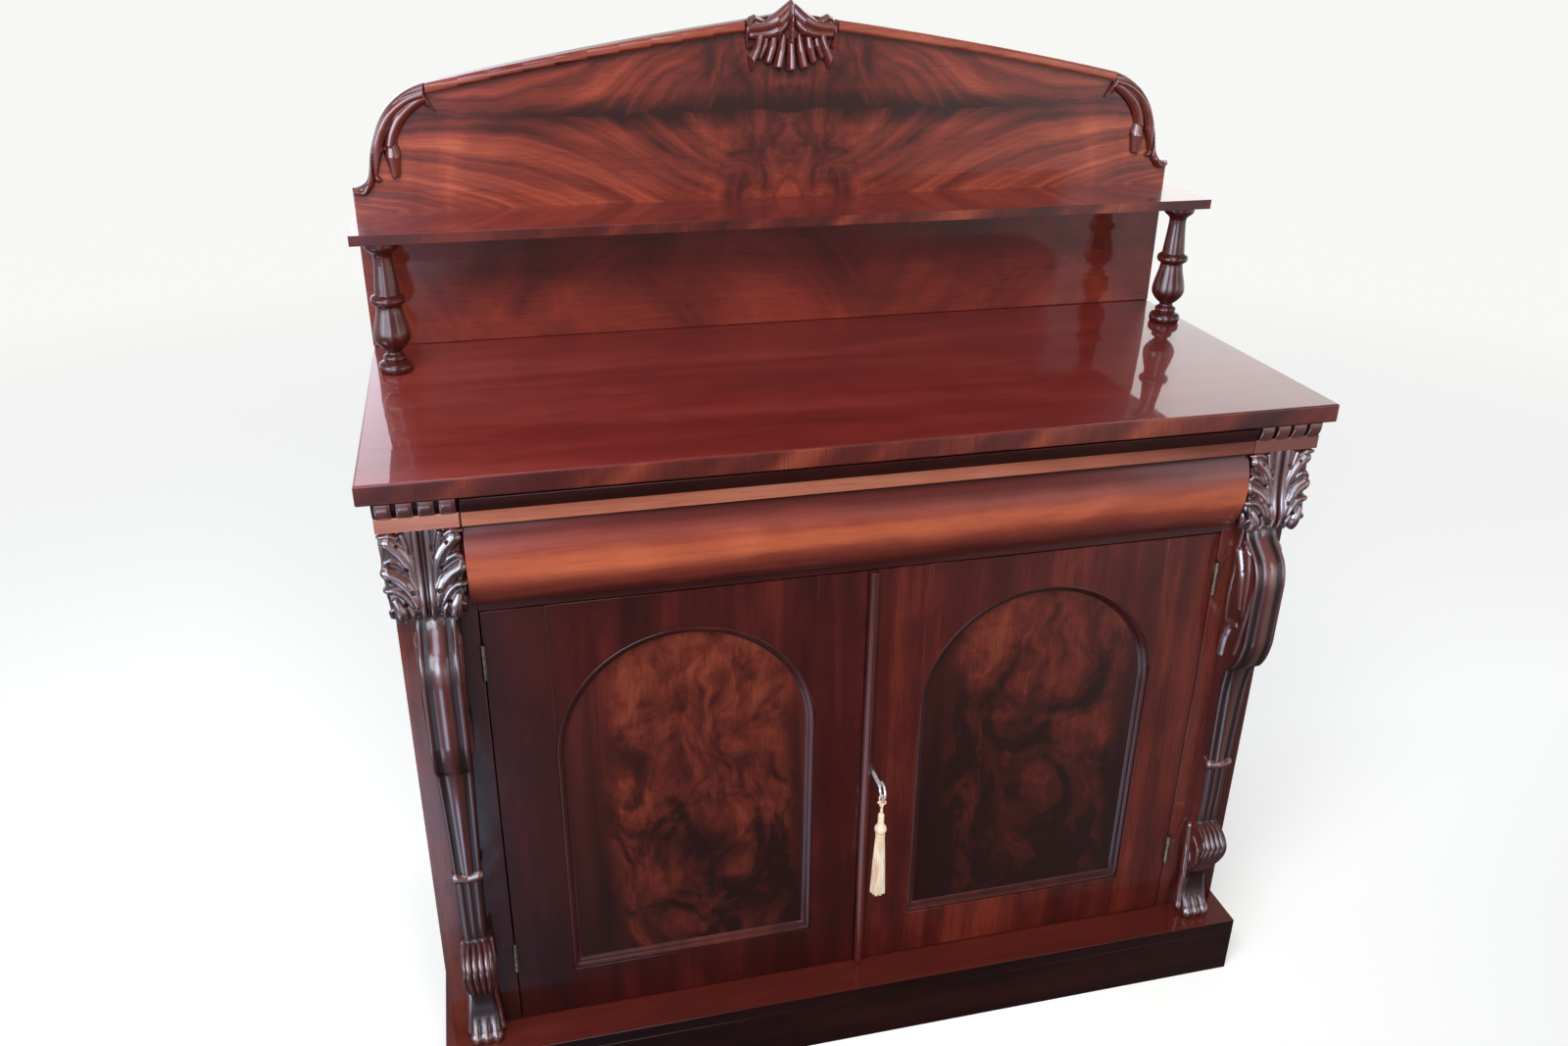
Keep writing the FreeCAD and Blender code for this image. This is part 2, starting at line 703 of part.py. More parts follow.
def strip(outer, inner, depth):
    """Solid between an outer and an inner edge, in front of the backboard."""
    ends = [Part.makeLine(outer.Vertexes[number].Point, inner.Vertexes[number].Point)
            for number in (0, 1)]
    return closed_face([outer, inner] + ends).extrude(Vector(0, -float(depth), 0))


def rake_moulding():
    solid = strip(rake_arc(), rake_arc(float(s.rake_width)), s.rake_depth)
    front_z = float(board_y - s.rake_depth)
    nose = [edge for edge in solid.Edges
            if abs(edge.BoundBox.Center.y - front_z) < 1e-3 and edge.Length > float(s.shoulder_width)]
    return solid.makeFillet(float(s.rake_depth) * 0.4, nose)


def shoulder_leaf():
    """Carved leaf that follows the shoulder and ends in a curl at the side."""
    outer = edge_through(shoulder_spots())
    x, rise = s.shoulder_width, s.eaves_rise - s.side_rise
    inner_line = ((1.12, 0.70), (1.02, 0.78), (0.80, 0.70), (0.66, 0.5),
                  (0.60, 0.1), (0.50, 0.08), (0.42, 0.35), (0.33, 0.12))
    spots = [gallery_spot(board_half - x, s.eaves_rise),
             gallery_spot(board_half - x, s.eaves_rise - s.rake_width - 1)]
    spots += [gallery_spot(board_half - x * along, s.side_rise + rise * up)
              for along, up in inner_line]
    sides = [Part.makeLine(spots[number], spots[number + 1]) for number in range(len(spots) - 1)]
    curl = Part.Arc(spots[-1], gallery_spot(board_half - s.leaf_curl, s.side_rise - s.leaf_curl * 1.5),
                    gallery_spot(board_half, s.side_rise)).toShape()
    return closed_face([outer] + sides + [curl]).extrude(Vector(0, -float(s.leaf_relief), 0))


# Right half of the crest, tip to foot: shares of its half width and of its height.
CREST_SHARES = ((0.0, 1.0), (0.30, 0.84), (0.55, 0.73), (0.78, 0.80), (0.90, 0.76), (1.0, 0.62),
         (0.94, 0.30), (0.86, 0.03), (0.70, 0.06), (0.50, 0.10), (0.25, 0.03), (0.0, 0.0))


def crest():
    foot = s.crest_rise - s.crest_drop
    half = [gallery_spot(s.crest_half * along, foot + s.crest_drop * up)
            for along, up in CREST_SHARES]
    edges = [Part.makeLine(half[number], half[number + 1]) for number in range(len(half) - 1)]
    face = closed_face(both_halves(edges))
    return face.extrude(Vector(0, -float(s.crest_depth), 0))


keep(feature("backboard", backboard()), "backboard")
keep(feature("crest", crest()), "crest")
for sign, hand in HANDS:
    for label, make in (("pediment_moulding", rake_moulding), ("shoulder_leaf", shoulder_leaf)):
        solid = make()
        if label == "pediment_moulding":
            solid = solid.cut(crest()).Solids[0]
        if sign < 0:
            solid = solid.mirror(Vector(), Vector(1, 0, 0))
        keep(feature(f"{label}_{hand}", solid), f"{label}_{hand}")

ledge = box("gallery", -gallery_half, gallery_y, gallery_foot,
            gallery_half * 2, s.gallery_depth, s.gallery_thick)
sockets = [rod(f"gallery_socket_{hand}", column_x * sign, column_y, gallery_foot,
               socket_radius, s.peg_length) for sign, hand in HANDS]
keep(cut("gallery_shelf", ledge, *sockets), "gallery_shelf")

# Turned column, foot to head: shares of the largest radius and of the height. Each
# stretch is one smooth cut of the gouge.
TURNING_SHARES = (
    ((0.92, 0.0), (1.0, 0.03), (0.98, 0.06), (0.78, 0.085)),
    ((0.78, 0.085), (0.62, 0.093)),
    ((0.62, 0.093), (0.68, 0.115), (0.56, 0.14)),
    ((0.56, 0.14), (0.43, 0.158), (0.50, 0.175)),
    ((0.50, 0.175), (0.82, 0.215), (1.03, 0.265), (1.02, 0.33), (0.86, 0.42), (0.72, 0.52)),
    ((0.72, 0.52), (0.80, 0.53)),
    ((0.80, 0.53), (1.0, 0.565), (0.84, 0.60)),
    ((0.84, 0.60), (0.72, 0.61)),
    ((0.72, 0.61), (0.63, 0.73), (0.55, 0.85), (0.535, 0.89)),
    ((0.535, 0.89), (0.66, 0.925), (0.88, 0.95), (0.98, 0.975)),
    ((0.98, 0.975), (0.98, 1.0)),
)


def column():
    height = gallery_foot - s.top_height
    radius = s.column_radius
    edges = []
    for stretch in TURNING_SHARES:
        edges.append(edge_through([gallery_spot(radius * out, height * up, 0)
                                   for out, up in stretch]))
    peg = float(s.peg_radius)
    low, high = -float(s.peg_length), float(height + s.peg_length)
    corners = ((radius * TURNING_SHARES[0][0][0], 0), (peg, 0), (peg, low), (0, low), (0, high),
               (peg, high), (peg, float(height)), (radius * TURNING_SHARES[-1][-1][0], height))
    spots = [gallery_spot(out, rise, 0) for out, rise in corners]
    edges += [Part.makeLine(spots[number], spots[number + 1])
              for number in range(len(spots) - 1)]
    return closed_face(edges).revolve(Vector(), Vector(0, 0, 1), 360)


for sign, hand in HANDS:
    turned = feature(f"column_{hand}", column())
    place(turned, column_x * sign, column_y, 0)
    keep(turned, f"column_{hand}")

# ------------------------------------------------------------------------ the drawer

front_half = stile_edge + s.drawer_lap
box_half = stile_edge - s.show_gap
drawer_back_face = face_y - s.running_gap
drawer_foot = divider_top + s.running_gap
front_foot = divider_top + s.show_gap
front_head = capital_top
cushion_low = face_y - s.drawer_low_back
cushion_high = face_y - s.drawer_top_back

lean_y = cushion_high - cushion_low
rise_z = front_head - front_foot
chord_square = lean_y * lean_y + rise_z * rise_z
bulge_radius = chord_square / (8 * s.drawer_bulge) + s.drawer_bulge / 2

front = padded("cushion", "YZ_Plane", (
    (drawer_back_face, front_foot),
    (drawer_back_face, front_head),
    (cushion_high, front_head),
    (cushion_low, front_foot, -bulge_radius),
), front_half * 2, midplane=True)
inner_board = box("drawer_inner", -box_half, drawer_back_face, front_foot, box_half * 2,
                  frame_back_y - drawer_back_face, under_top - s.kicker_depth - front_foot)
keep(fuse("drawer_front", front, inner_board), "drawer_front")

cornice_head = under_top - s.show_gap
bead_reach = bead_y - fillet_y
bead_rise = cornice_head - fillet_top
bead_radius = (bead_reach * bead_reach + bead_rise * bead_rise) / 10 + 1.25
keep(padded("drawer_cornice", "YZ_Plane", (
    (drawer_back_face, capital_top),
    (drawer_back_face, cornice_head),
    (bead_y, cornice_head),
    (fillet_y, fillet_top, -bead_radius),
    (fillet_y, capital_top),
), front_half * 2, midplane=True), "drawer_cornice")

floor_z = drawer_foot + s.floor_rise
floor_half = box_half - s.drawer_side + s.groove_depth
box_back_y = inside_y - s.drawer_play
box_length = box_back_y - frame_back_y
for sign, hand in HANDS:
    wall = side_box(f"drawer_{hand}", sign, box_half - s.drawer_side, box_half, frame_back_y,
                    drawer_foot, box_length, s.drawer_height)
    groove = side_box(f"groove_{hand}", sign, box_half - s.drawer_side, floor_half,
                      frame_back_y, floor_z, box_length, s.drawer_floor)
    keep(cut(f"drawer_side_{hand}", wall, groove), f"drawer_side_{hand}")
drawer_inside = box_half - s.drawer_side
keep(box("drawer_back", -drawer_inside, box_back_y - s.drawer_back_thick,
         floor_z + s.drawer_floor, drawer_inside * 2, s.drawer_back_thick,
         s.drawer_height - s.floor_rise - s.drawer_floor), "drawer_back")
keep(box("drawer_bottom", -floor_half, frame_back_y, floor_z,
         floor_half * 2, box_length, s.drawer_floor), "drawer_bottom")

# ------------------------------------------------------------------------- the doors

opening_foot = door_foot + s.bottom_rail_height
opening_head = door_head - s.top_rail_height
door_edge = stile_edge - s.show_gap
panel_far = door_edge - s.hinge_stile
arch_radius = (panel_far - s.panel_near) / 2
springing = opening_head - arch_radius
panel_middle = s.panel_near + arch_radius
MEETING = {"left": s.meeting_shift + s.show_gap / 2, "right": s.show_gap / 2 - s.meeting_shift}


def arched(name, sign, grow, front, depth):
    """A round-headed slab on the panel opening's outline, larger all round by grow."""
    half = arch_radius + grow
    middle = panel_middle * sign
    foot = opening_foot - grow
    body = padded(name, "XZ_Plane", (
        (middle - half, foot),
        (middle + half, foot),
        (middle + half, springing),
        (middle - half, springing, -half),
    ), depth)
    place(body, 0, front + depth, 0)
    return body


def arch_wire(sign, inset, y):
    half = float(arch_radius - inset)
    middle = float(panel_middle) * sign
    low, spring, y = float(opening_foot + inset), float(springing), float(y)
    spots = [Vector(middle - half, y, spring), Vector(middle - half, y, low),
             Vector(middle + half, y, low), Vector(middle + half, y, spring)]
    edges = [Part.makeLine(spots[number], spots[number + 1]) for number in range(3)]
    crown = Vector(middle, y, spring + half)
    edges.append(Part.Arc(spots[3], crown, spots[0]).toShape())
    return Part.Wire(edges)


def panel_moulding(sign):
    """Sloped frame that runs from the door's face down to the panel."""
    back = face_y + s.panel_lip
    face = Part.Face(arch_wire(sign, s.running_gap, face_y))
    solid = face.extrude(Vector(0, float(s.panel_lip), 0))
    funnel = Part.makeLoft([arch_wire(sign, s.moulding_edge, face_y),
                            arch_wire(sign, s.moulding_width, back)], True, True)
    return solid.cut(funnel)


def hinge_side(name, sign, fixed):
    """Leaves and knuckles of a door's two hinges, on the carcass or on the door."""
    pieces = []
    third = s.hinge_length / 3
    for number, z in enumerate(hinge_heights):
        low = z - s.hinge_length / 2
        leaf_edge = stile_edge if fixed else door_edge - s.leaf_thick
        leaf = side_box(f"{name}_leaf_{number}", sign, leaf_edge, leaf_edge + s.leaf_thick,
                        hinge_y, low, s.leaf_depth + face_y - hinge_y, s.hinge_length)
        x = hinge_x * sign
        if fixed:
            knuckles = [rod(f"{name}_knuckle_{number}_{end}", x, hinge_y, start,
                            s.knuckle_radius, third - s.running_gap)
                        for end, start in (("low", low), ("high", z + third / 2 + s.running_gap))]
            gap = side_box(f"{name}_gap_{number}", sign, stile_edge - s.knuckle_radius * 2,
                           stile_edge + s.leaf_thick + 1, hinge_y - s.knuckle_radius - 1,
                           z - third / 2 - s.running_gap,
                           s.knuckle_radius * 2 + 1, third + s.running_gap * 2)
            pin = rod(f"{name}_pin_{number}", x, hinge_y, low, s.pin_radius, s.hinge_length)
            leaf = cut(f"{name}_{number}", leaf, gap)
            pieces.append(fuse(f"{name}_{number}", leaf, pin, *knuckles))
        else:
            knuckle = rod(f"{name}_knuckle_{number}", x, hinge_y, z - third / 2,
                          s.knuckle_radius, third)
            bore = rod(f"{name}_bore_{number}", x, hinge_y, low, s.pin_radius + s.pin_play,
                       s.hinge_length)
            gaps = [side_box(f"{name}_gap_{number}_{end}", sign, door_edge - s.leaf_thick - 1,
                             door_edge + 1, hinge_y - s.knuckle_radius - 1, start,
                             s.knuckle_radius * 2 + 1, third)
                    for end, start in (("low", low), ("high", z + third / 2))]
            whole = fuse(f"{name}_{number}", leaf, knuckle)
            pieces.append(cut(f"{name}_{number}", whole, bore, *gaps))
    return pieces


lock_y = frame_back_y - s.lock_thick
bolt_y = lock_y + (s.lock_thick - s.bolt_thick) / 2
bolt_z = key_z + s.bolt_rise
door_near = -MEETING["right"]


def stile_tools(hand):
    """What is cut from a meeting stile for its lock or its bolts."""
    if hand == "right":
        pocket = box("lock_pocket", -door_near, lock_y, key_z - s.lock_below,
                     s.lock_width, s.lock_thick, s.lock_below + s.lock_above)
        hole = rod("key_hole", s.key_across, face_y, key_z, s.key_radius + s.key_play,
                   s.frame_thick, "y")
        return [pocket, hole]
    depth = s.bolt_throw + 4
    mortise = box("bolt_mortise", -MEETING["left"] - depth, bolt_y - 1, bolt_z - 1,
                  depth, s.bolt_thick + 2, s.bolt_high + 2)
    room = s.slide_length + s.slide_travel + 8
    return [mortise,
            slide_slot("high_groove", door_head - room, room, s.running_gap),
            slide_slot("low_groove", door_foot, room, s.running_gap)]


for sign, hand in HANDS:
    near = MEETING[hand]
    height = door_head - door_foot
    opening = arched(f"{hand}_opening", sign, 0, face_y, s.frame_thick)
    rebate = arched(f"{hand}_rebate", sign, s.panel_lap, face_y + s.panel_lip,
                    s.frame_thick - s.panel_lip)

    blank = side_box(f"{hand}_meeting", sign, near, s.panel_near, face_y, door_foot,
                     s.frame_thick, height)
    keep(cut(f"{hand}_meeting_stile", blank, rebate, *stile_tools(hand)),
         f"{hand}_meeting_stile")

    blank = side_box(f"{hand}_hinge", sign, panel_far, door_edge, face_y, door_foot,
                     s.frame_thick, height)
    recesses = [hinge_recess(f"{hand}_hinge_recess_{number}", sign, door_edge - s.leaf_thick, z)
                for number, z in enumerate(hinge_heights)]
    keep(cut(f"{hand}_hinge_stile", blank, rebate, *recesses), f"{hand}_hinge_stile")

    rail_foot = springing + s.arch_toe
    blank = side_box(f"{hand}_top", sign, s.panel_near, panel_far, face_y, rail_foot,
                     s.frame_thick, door_head - rail_foot)
    keep(cut(f"{hand}_top_rail", blank, opening, rebate), f"{hand}_top_rail")

    blank = side_box(f"{hand}_low", sign, s.panel_near, panel_far, face_y, door_foot,
                     s.frame_thick, s.bottom_rail_height)
    keep(cut(f"{hand}_bottom_rail", blank, rebate), f"{hand}_bottom_rail")

    keep(arched(f"{hand}_panel", sign, s.panel_lap - s.running_gap, face_y + s.panel_lip,
                s.panel_thick),
         f"{hand}_panel")
    keep(feature(f"{hand}_moulding", panel_moulding(sign)), f"{hand}_moulding")
    keep(group(f"{hand}_hinge_leaves", *hinge_side(f"{hand}_door_hinge", sign, fixed=False)),
         f"{hand}_hinge_leaves")

keep(group("hinge_plates", *[piece for sign, hand in HANDS
                             for piece in hinge_side(f"{hand}_plate", sign, fixed=True)]),
     "hinge_plates")

bead_shank = face_y - s.astragal_rise + s.astragal_width / 2
astragal = padded("astragal", "XY_Plane", (
    (-door_near, face_y),
    (-door_near, bead_shank),
    (s.astragal_width - door_near, bead_shank, -s.astragal_width / 2),
    (s.astragal_width - door_near, face_y),
), door_head - door_foot)
place(astragal, 0, 0, door_foot)
keep(astragal, "astragal")

# ---------------------------------------------------------------- lock, key and bolts

case = box("lock", -door_near, lock_y, key_z - s.lock_below,
           s.lock_width, s.lock_thick, s.lock_below + s.lock_above)
hollow = box("lock_hollow", s.lock_wall - door_near, lock_y + s.lock_wall,
             key_z - s.lock_below + s.lock_wall, s.lock_width - s.lock_wall * 2,
             s.lock_thick - s.lock_wall * 2, s.lock_below + s.lock_above - s.lock_wall * 2)
key_way = rod("lock_key_way", s.key_across, lock_y, key_z, s.key_radius + s.key_play,
              s.lock_wall, "y")
bolt_way = box("lock_bolt_way", -door_near, bolt_y - s.running_gap, bolt_z - s.running_gap,
               s.lock_wall, s.bolt_thick + s.running_gap * 2, s.bolt_high + s.running_gap * 2)
keep(cut("lock_case", case, hollow, key_way, bolt_way), "lock_case")

keep(box("lock_bolt", s.running_gap - door_near, bolt_y, bolt_z,
         s.bolt_long, s.bolt_thick, s.bolt_high), "lock_bolt")

shank_y = bow_y + s.bow_radius
shank_end = lock_y + s.lock_thick - s.lock_wall * 2
shank = rod("key_shank", s.key_across, shank_y, key_z, s.key_radius, shank_end - shank_y, "y")
bit = box("key_bit", s.key_across - 1, lock_y + s.lock_wall * 2, key_z - s.bit_reach,
          2, s.lock_thick - s.lock_wall * 4, s.bit_reach)
ring = doc.addObject("Part::Torus", "key_bow")
ring.setExpression("Radius1", s.bow_radius.text)
ring.setExpression("Radius2", (s.bow_thick / 2).text)
ring.Placement = Placement(Vector(), Rotation(Vector(0, 1, 0), 90))
place(ring, s.key_across, bow_y, key_z)
keep(fuse("key", shank, bit, ring), "key")

for end, start, plate_z in (
        ("top", door_head - s.slide_rest - s.slide_length, door_head - s.slide_length * 0.75),
        ("bottom", door_foot + s.slide_rest, door_foot + s.slide_length * 0.25)):
    bar = box(f"slide_{end}", -s.slide_across - s.slide_width / 2, slide_y - s.running_gap / 2,
              start, s.slide_width, s.slide_thick - s.running_gap / 2, s.slide_length)
    knob_z = start + s.slide_width / 2 if end == "top" else (
        start + s.slide_length - s.slide_width / 2)
    knob = rod(f"slide_{end}_knob", -s.slide_across, slide_y, knob_z, s.slide_width * 0.35,
               s.slide_thick + s.slide_width, "y")
    keep(fuse(f"door_bolt_{end}", bar, knob), f"door_bolt_{end}")

plate_height = s.slide_length / 2
keep(group("bolt_plates", *[
    box(f"plate_{end}", -s.slide_across - s.slide_width * 1.3, frame_back_y, z,
        s.slide_width * 2.6, s.plate_thick, plate_height)
    for end, z in (("top", door_head - plate_height - s.slide_width),
                   ("bottom", door_foot + s.slide_width))]), "bolt_plates")

# ------------------------------------------------------------------------ the tassel

pivot_z = key_z - s.bow_radius
head_top = pivot_z - s.cord_drop
wrap = s.bow_thick / 2 + s.cord_thick / 2 + s.running_gap
cord_foot = 1.6


def rounded_path(points):
    """Straight runs joined by the largest arcs that their shorter run allows."""
    edges = []
    start = points[0]
    radii = []
    for before, corner, after in zip(points, points[1:], points[2:]):
        arrive, leave = corner - before, after - corner
        shorter = min(arrive.Length, leave.Length)
        turn = arrive.getAngle(leave)
        radius = 0.45 * shorter / math.tan(turn / 2)
        radii.append(round(radius, 2))
        back = radius * math.tan(turn / 2)
        arrive.normalize()
        leave.normalize()
        first, last = corner - arrive * back, corner + leave * back
        inward = leave - arrive
        inward.normalize()
        middle = corner + inward * (radius / math.cos(turn / 2) - radius)
        edges.append(Part.LineSegment(start, first).toShape())
        edges.append(Part.Arc(first, middle, last).toShape())
        start = last
    edges.append(Part.LineSegment(start, points[-1]).toShape())
    print("cord radii", radii)
    return Part.Wire(edges)


# The cord goes up from the tassel's head, over the bow's ring and down again.
cord_route = [Vector(float(s.key_across) + across_x, float(bow_y), float(z)) for across_x, z in (
    (-cord_foot, head_top),
    (-float(wrap), pivot_z + wrap),
    (float(wrap), pivot_z + wrap),
    (cord_foot, head_top))]
cord_path = rounded_path(cord_route)
circle = Part.Circle(cord_route[0], cord_route[1] - cord_route[0], float(s.cord_thick) / 2)
cord = cord_path.makePipeShell([Part.Wire(circle.toShape())], True, False)
expected = math.pi * (float(s.cord_thick) / 2) ** 2 * cord_path.Length
print("cord length", round(cord_path.Length, 1), "volume ratio", round(cord.Volume / expected, 4))
keep(feature("tassel_cord", cord), "tassel_cord")

cap_height = 3
cap = rod("tassel_cap", s.key_across, bow_y, head_top - cap_height, s.head_radius * 0.55,
          cap_height)
head = doc.addObject("Part::Sphere", "tassel_head")
head.setExpression("Radius", s.head_radius.text)
head_z = head_top - s.head_radius - 1
place(head, s.key_across, bow_y, head_z)
skirt = doc.addObject("Part::Cone", "tassel_skirt")
skirt.setExpression("Radius1", s.skirt_radius.text)
skirt.setExpression("Radius2", (s.head_radius * 0.75).text)
skirt.setExpression("Height", s.skirt_length.text)
place(skirt, s.key_across, bow_y, head_z - s.head_radius * 0.6 - s.skirt_length)
keep(fuse("tassel", cap, head, skirt), "tassel")

# ---------------------------------------------------------------------------- export

doc.recompute()
for item in doc.Objects:
    if "Invalid" in item.State or "Error" in item.State:
        raise RuntimeError(f"{item.Label} failed: {item.State}")
names = [piece.Label for piece in parts]
if len(set(names)) != len(names):
    raise RuntimeError("two pieces share a name")
for piece in parts:
    if piece.Shape.isNull() or not piece.Shape.isValid():
        raise RuntimeError(f"{piece.Label} has no valid shape")

os.makedirs("parts", exist_ok=True)
for piece in parts:
    piece.Shape.exportStep(f"parts/{piece.Label}.step")
print(len(parts), "pieces written")
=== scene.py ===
import contextlib
import json
import math
import bmesh
import bpy
import numpy as np
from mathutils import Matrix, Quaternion, Vector


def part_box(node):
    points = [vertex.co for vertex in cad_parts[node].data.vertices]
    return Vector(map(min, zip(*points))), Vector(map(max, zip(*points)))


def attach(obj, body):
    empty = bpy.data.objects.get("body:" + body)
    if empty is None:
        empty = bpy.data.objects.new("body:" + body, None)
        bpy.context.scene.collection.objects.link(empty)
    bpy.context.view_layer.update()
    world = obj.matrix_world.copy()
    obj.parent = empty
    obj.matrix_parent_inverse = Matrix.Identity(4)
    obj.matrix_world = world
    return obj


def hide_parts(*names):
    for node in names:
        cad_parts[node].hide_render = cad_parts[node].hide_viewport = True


# Looks of a French-polished mahogany chiffonier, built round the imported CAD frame, with X right,
# Y back and Z up from the floor. Shapes are in millimetres; the camera, the lights and the
# textures' places are in metres.

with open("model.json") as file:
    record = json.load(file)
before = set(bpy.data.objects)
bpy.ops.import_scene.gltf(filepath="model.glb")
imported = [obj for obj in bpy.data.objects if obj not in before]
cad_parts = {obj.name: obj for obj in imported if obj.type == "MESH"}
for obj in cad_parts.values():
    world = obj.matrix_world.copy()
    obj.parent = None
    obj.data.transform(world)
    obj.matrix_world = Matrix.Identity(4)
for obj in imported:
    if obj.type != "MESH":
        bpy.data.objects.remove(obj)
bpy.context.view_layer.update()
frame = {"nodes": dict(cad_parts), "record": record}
scene = bpy.context.scene
NODES = frame["nodes"]
BODY_OF = {node: body for body, nodes in frame["record"]["behaviour"]["bodies"].items()
           for node in nodes}
HANDS = ("left", "right")
FACE = -200.0  # front of the carcass and its doors
BOARD = 235.0  # front of the backboard
OUTER_BOARD = 560.0  # half the backboard's width
CORNICE_FOOT = 825.0  # where the nulled bead starts


# ---- objects and meshes

def placed(name, data):
    """A new object in the scene."""
    thing = bpy.data.objects.new(name, data)
    scene.collection.objects.link(thing)
    return thing


@contextlib.contextmanager
def edited(mesh, source=None):
    """Opens a mesh for edits and writes it back; source is a mesh to start from instead."""
    form = bmesh.new()
    form.from_mesh(source or mesh)
    yield form
    form.to_mesh(mesh)
    form.free()


def face_outwards(mesh):
    with edited(mesh) as form:
        bmesh.ops.recalc_face_normals(form, faces=form.faces)


def smooth(mesh, degrees):
    """Smooth shading with sharp edges kept above the angle."""
    limit = math.radians(degrees)
    with edited(mesh) as form:
        for face in form.faces:
            face.smooth = True
        for edge in form.edges:
            edge.smooth = not (len(edge.link_faces) == 2 and edge.calc_face_angle(0) > limit)


def mesh_of(name, spots, faces):
    """A mesh from spots in millimetres."""
    mesh = bpy.data.meshes.new(name)
    mesh.from_pydata((np.asarray(spots).reshape(-1, 3) / 1000).tolist(), [], faces)
    return mesh


def tube(rows, columns, ring=False):
    """Faces of a tube of spots, row by row; it has a cap at each end or is bent to a ring."""
    spots = np.arange(rows * columns).reshape(rows, columns)
    over = np.roll(spots, -1, 0)
    walls = np.stack([spots, np.roll(spots, -1, 1), np.roll(over, -1, 1), over], 2)
    if ring:
        return walls.reshape(-1, 4).tolist()
    return walls[:-1].reshape(-1, 4).tolist() + [spots[0, ::-1].tolist(), spots[-1].tolist()]


# ---- camera and stage

cam_data = bpy.data.cameras.new("camera")
cam_data.lens = 28.932
cam_data.sensor_width = 36
camera = placed("camera", cam_data)
camera.rotation_mode = "QUATERNION"
camera.location = (-0.41989, -1.44103, 1.37622)
camera.rotation_quaternion = Quaternion((0.840085, 0.529054, -0.067871, -0.098759))
scene.camera = camera
scene.view_settings.view_transform = "Standard"


def operator(kind):
    return lambda self, other=0.0: self.graph.math(kind, self, other)


class Value:
    """A shader value that adds and multiplies like a number."""

    def __init__(self, graph, socket):
        self.graph, self.socket = graph, socket

    __add__ = __radd__ = operator("ADD")
    __mul__ = __rmul__ = operator("MULTIPLY")
    __sub__, __abs__ = operator("SUBTRACT"), operator("ABSOLUTE")

    def __rsub__(self, other):
        return self.graph.math("SUBTRACT", other, self)

    def level(self, low, high, out_low=0.0, out_high=1.0):
        """The value mapped from low..high to out_low..out_high, and held there beyond."""
        return self.graph.take("MapRange", {
            "Value": self, "From Min": low, "From Max": high, "To Min": out_low, "To Max": out_high})

    def centred(self, size):
        """A noise, which lies about a half, as a change of this size about nought."""
        return (self - 0.5) * size


class Graph:
    """A short way to write the shader of a material or a world."""

    def __init__(self, owner):
        owner.use_nodes = True
        self.owner, self.tree = owner, owner.node_tree
        self.tree.nodes.clear()

    def put(self, socket, value):
        if isinstance(value, bpy.types.Node):
            value = value.outputs[0]
        if isinstance(value, Value):
            value = value.socket
        if isinstance(value, bpy.types.NodeSocket):
            self.tree.links.new(value, socket)
        elif socket.type == "RGBA":
            socket.default_value = (*value, 1)
        else:
            socket.default_value = value

    def add(self, kind, inputs=None, **settings):
        node = self.tree.nodes.new("ShaderNode" + kind)
        for key, value in settings.items():
            setattr(node, key, value)
        for key, value in (inputs or {}).items():
            self.put(node.inputs[key], value)
        return node

    def take(self, kind, inputs=None, output=0, **settings):
        return Value(self, self.add(kind, inputs, **settings).outputs[output])

    def math(self, operation, first, second=0.0):
        return self.take("Math", {0: first, 1: second}, operation=operation)

    def noise(self, where, scale=1.0, detail=3.0, rough=0.55, warp=0.0):
        if isinstance(where, tuple):
            where = self.take("CombineXYZ", dict(enumerate(where)))
        return self.take("TexNoise", {
            "Vector": where, "Scale": scale, "Detail": detail, "Roughness": rough,
            "Distortion": warp})

    def ramp(self, value, *stops):
        """Colours or greys along a value, as pairs of (value, colour)."""
        node = self.add("ValToRGB", {0: value})
        points = node.color_ramp.elements
        while len(points) < len(stops):
            points.new(0.5)
        for point, (where, colour) in zip(points, stops):
            point.position = where
            point.color = (*(colour if isinstance(colour, tuple) else (colour,) * 3), 1)
        return Value(self, node.outputs[0])

    def mix(self, factor, first, second, blend="MIX"):
        return self.take("Mix", {0: factor, 6: first, 7: second}, output=2,
            data_type="RGBA", blend_type=blend)

    def between(self, factor, first, second):
        """Mixes two values, not colours."""
        return self.take("Mix", {0: factor, 2: first, 3: second})

    def place(self, scale=(1, 1, 1), shift=(0, 0, 0)):
        return self.take("Mapping", {
            "Vector": self.add("TexCoord").outputs["Object"], "Scale": scale,
            "Location": shift})

    def axes(self, space="Object"):
        where = self.add("TexCoord").outputs[space]
        return [Value(self, part) for part in self.add("SeparateXYZ", {0: where}).outputs]

    def bump(self, height, strength, distance, **under):
        return self.take("Bump", {
            "Height": height, "Strength": strength, "Distance": distance, **under})

    def surface(self, inputs, kind="BsdfPrincipled"):
        """Ends a material with a shader, and gives the material."""
        self.add("OutputMaterial", {"Surface": self.add(kind, inputs)})
        return self.owner


def material(name):
    return Graph(bpy.data.materials.new(name))


# Bright windows that the polish reflects: direction, half angle in degrees, radiance.
GLOWS = (
    ((-0.3, -0.94, 0.14), 17, (3.4, 3.9, 4.9)),
    ((-0.26, -0.8, 0.52), 17, (2.8, 3.2, 4.0)),
    ((-0.22, -0.45, 0.87), 20, (2.0, 2.3, 2.9)),
    ((-0.88, -0.42, 0.2), 20, (3.6, 4.3, 5.5)),
    ((-0.12, 0.93, 0.36), 14, (1.8, 1.75, 1.95)),
    ((0.58, 0.76, 0.29), 22, (1.4, 1.4, 1.38)),
    ((-0.66, -0.34, -0.67), 17, (1.8, 2.1, 2.7)),
    ((-0.175, -0.79, -0.6), 9, (1.5, 1.9, 2.6)),
)


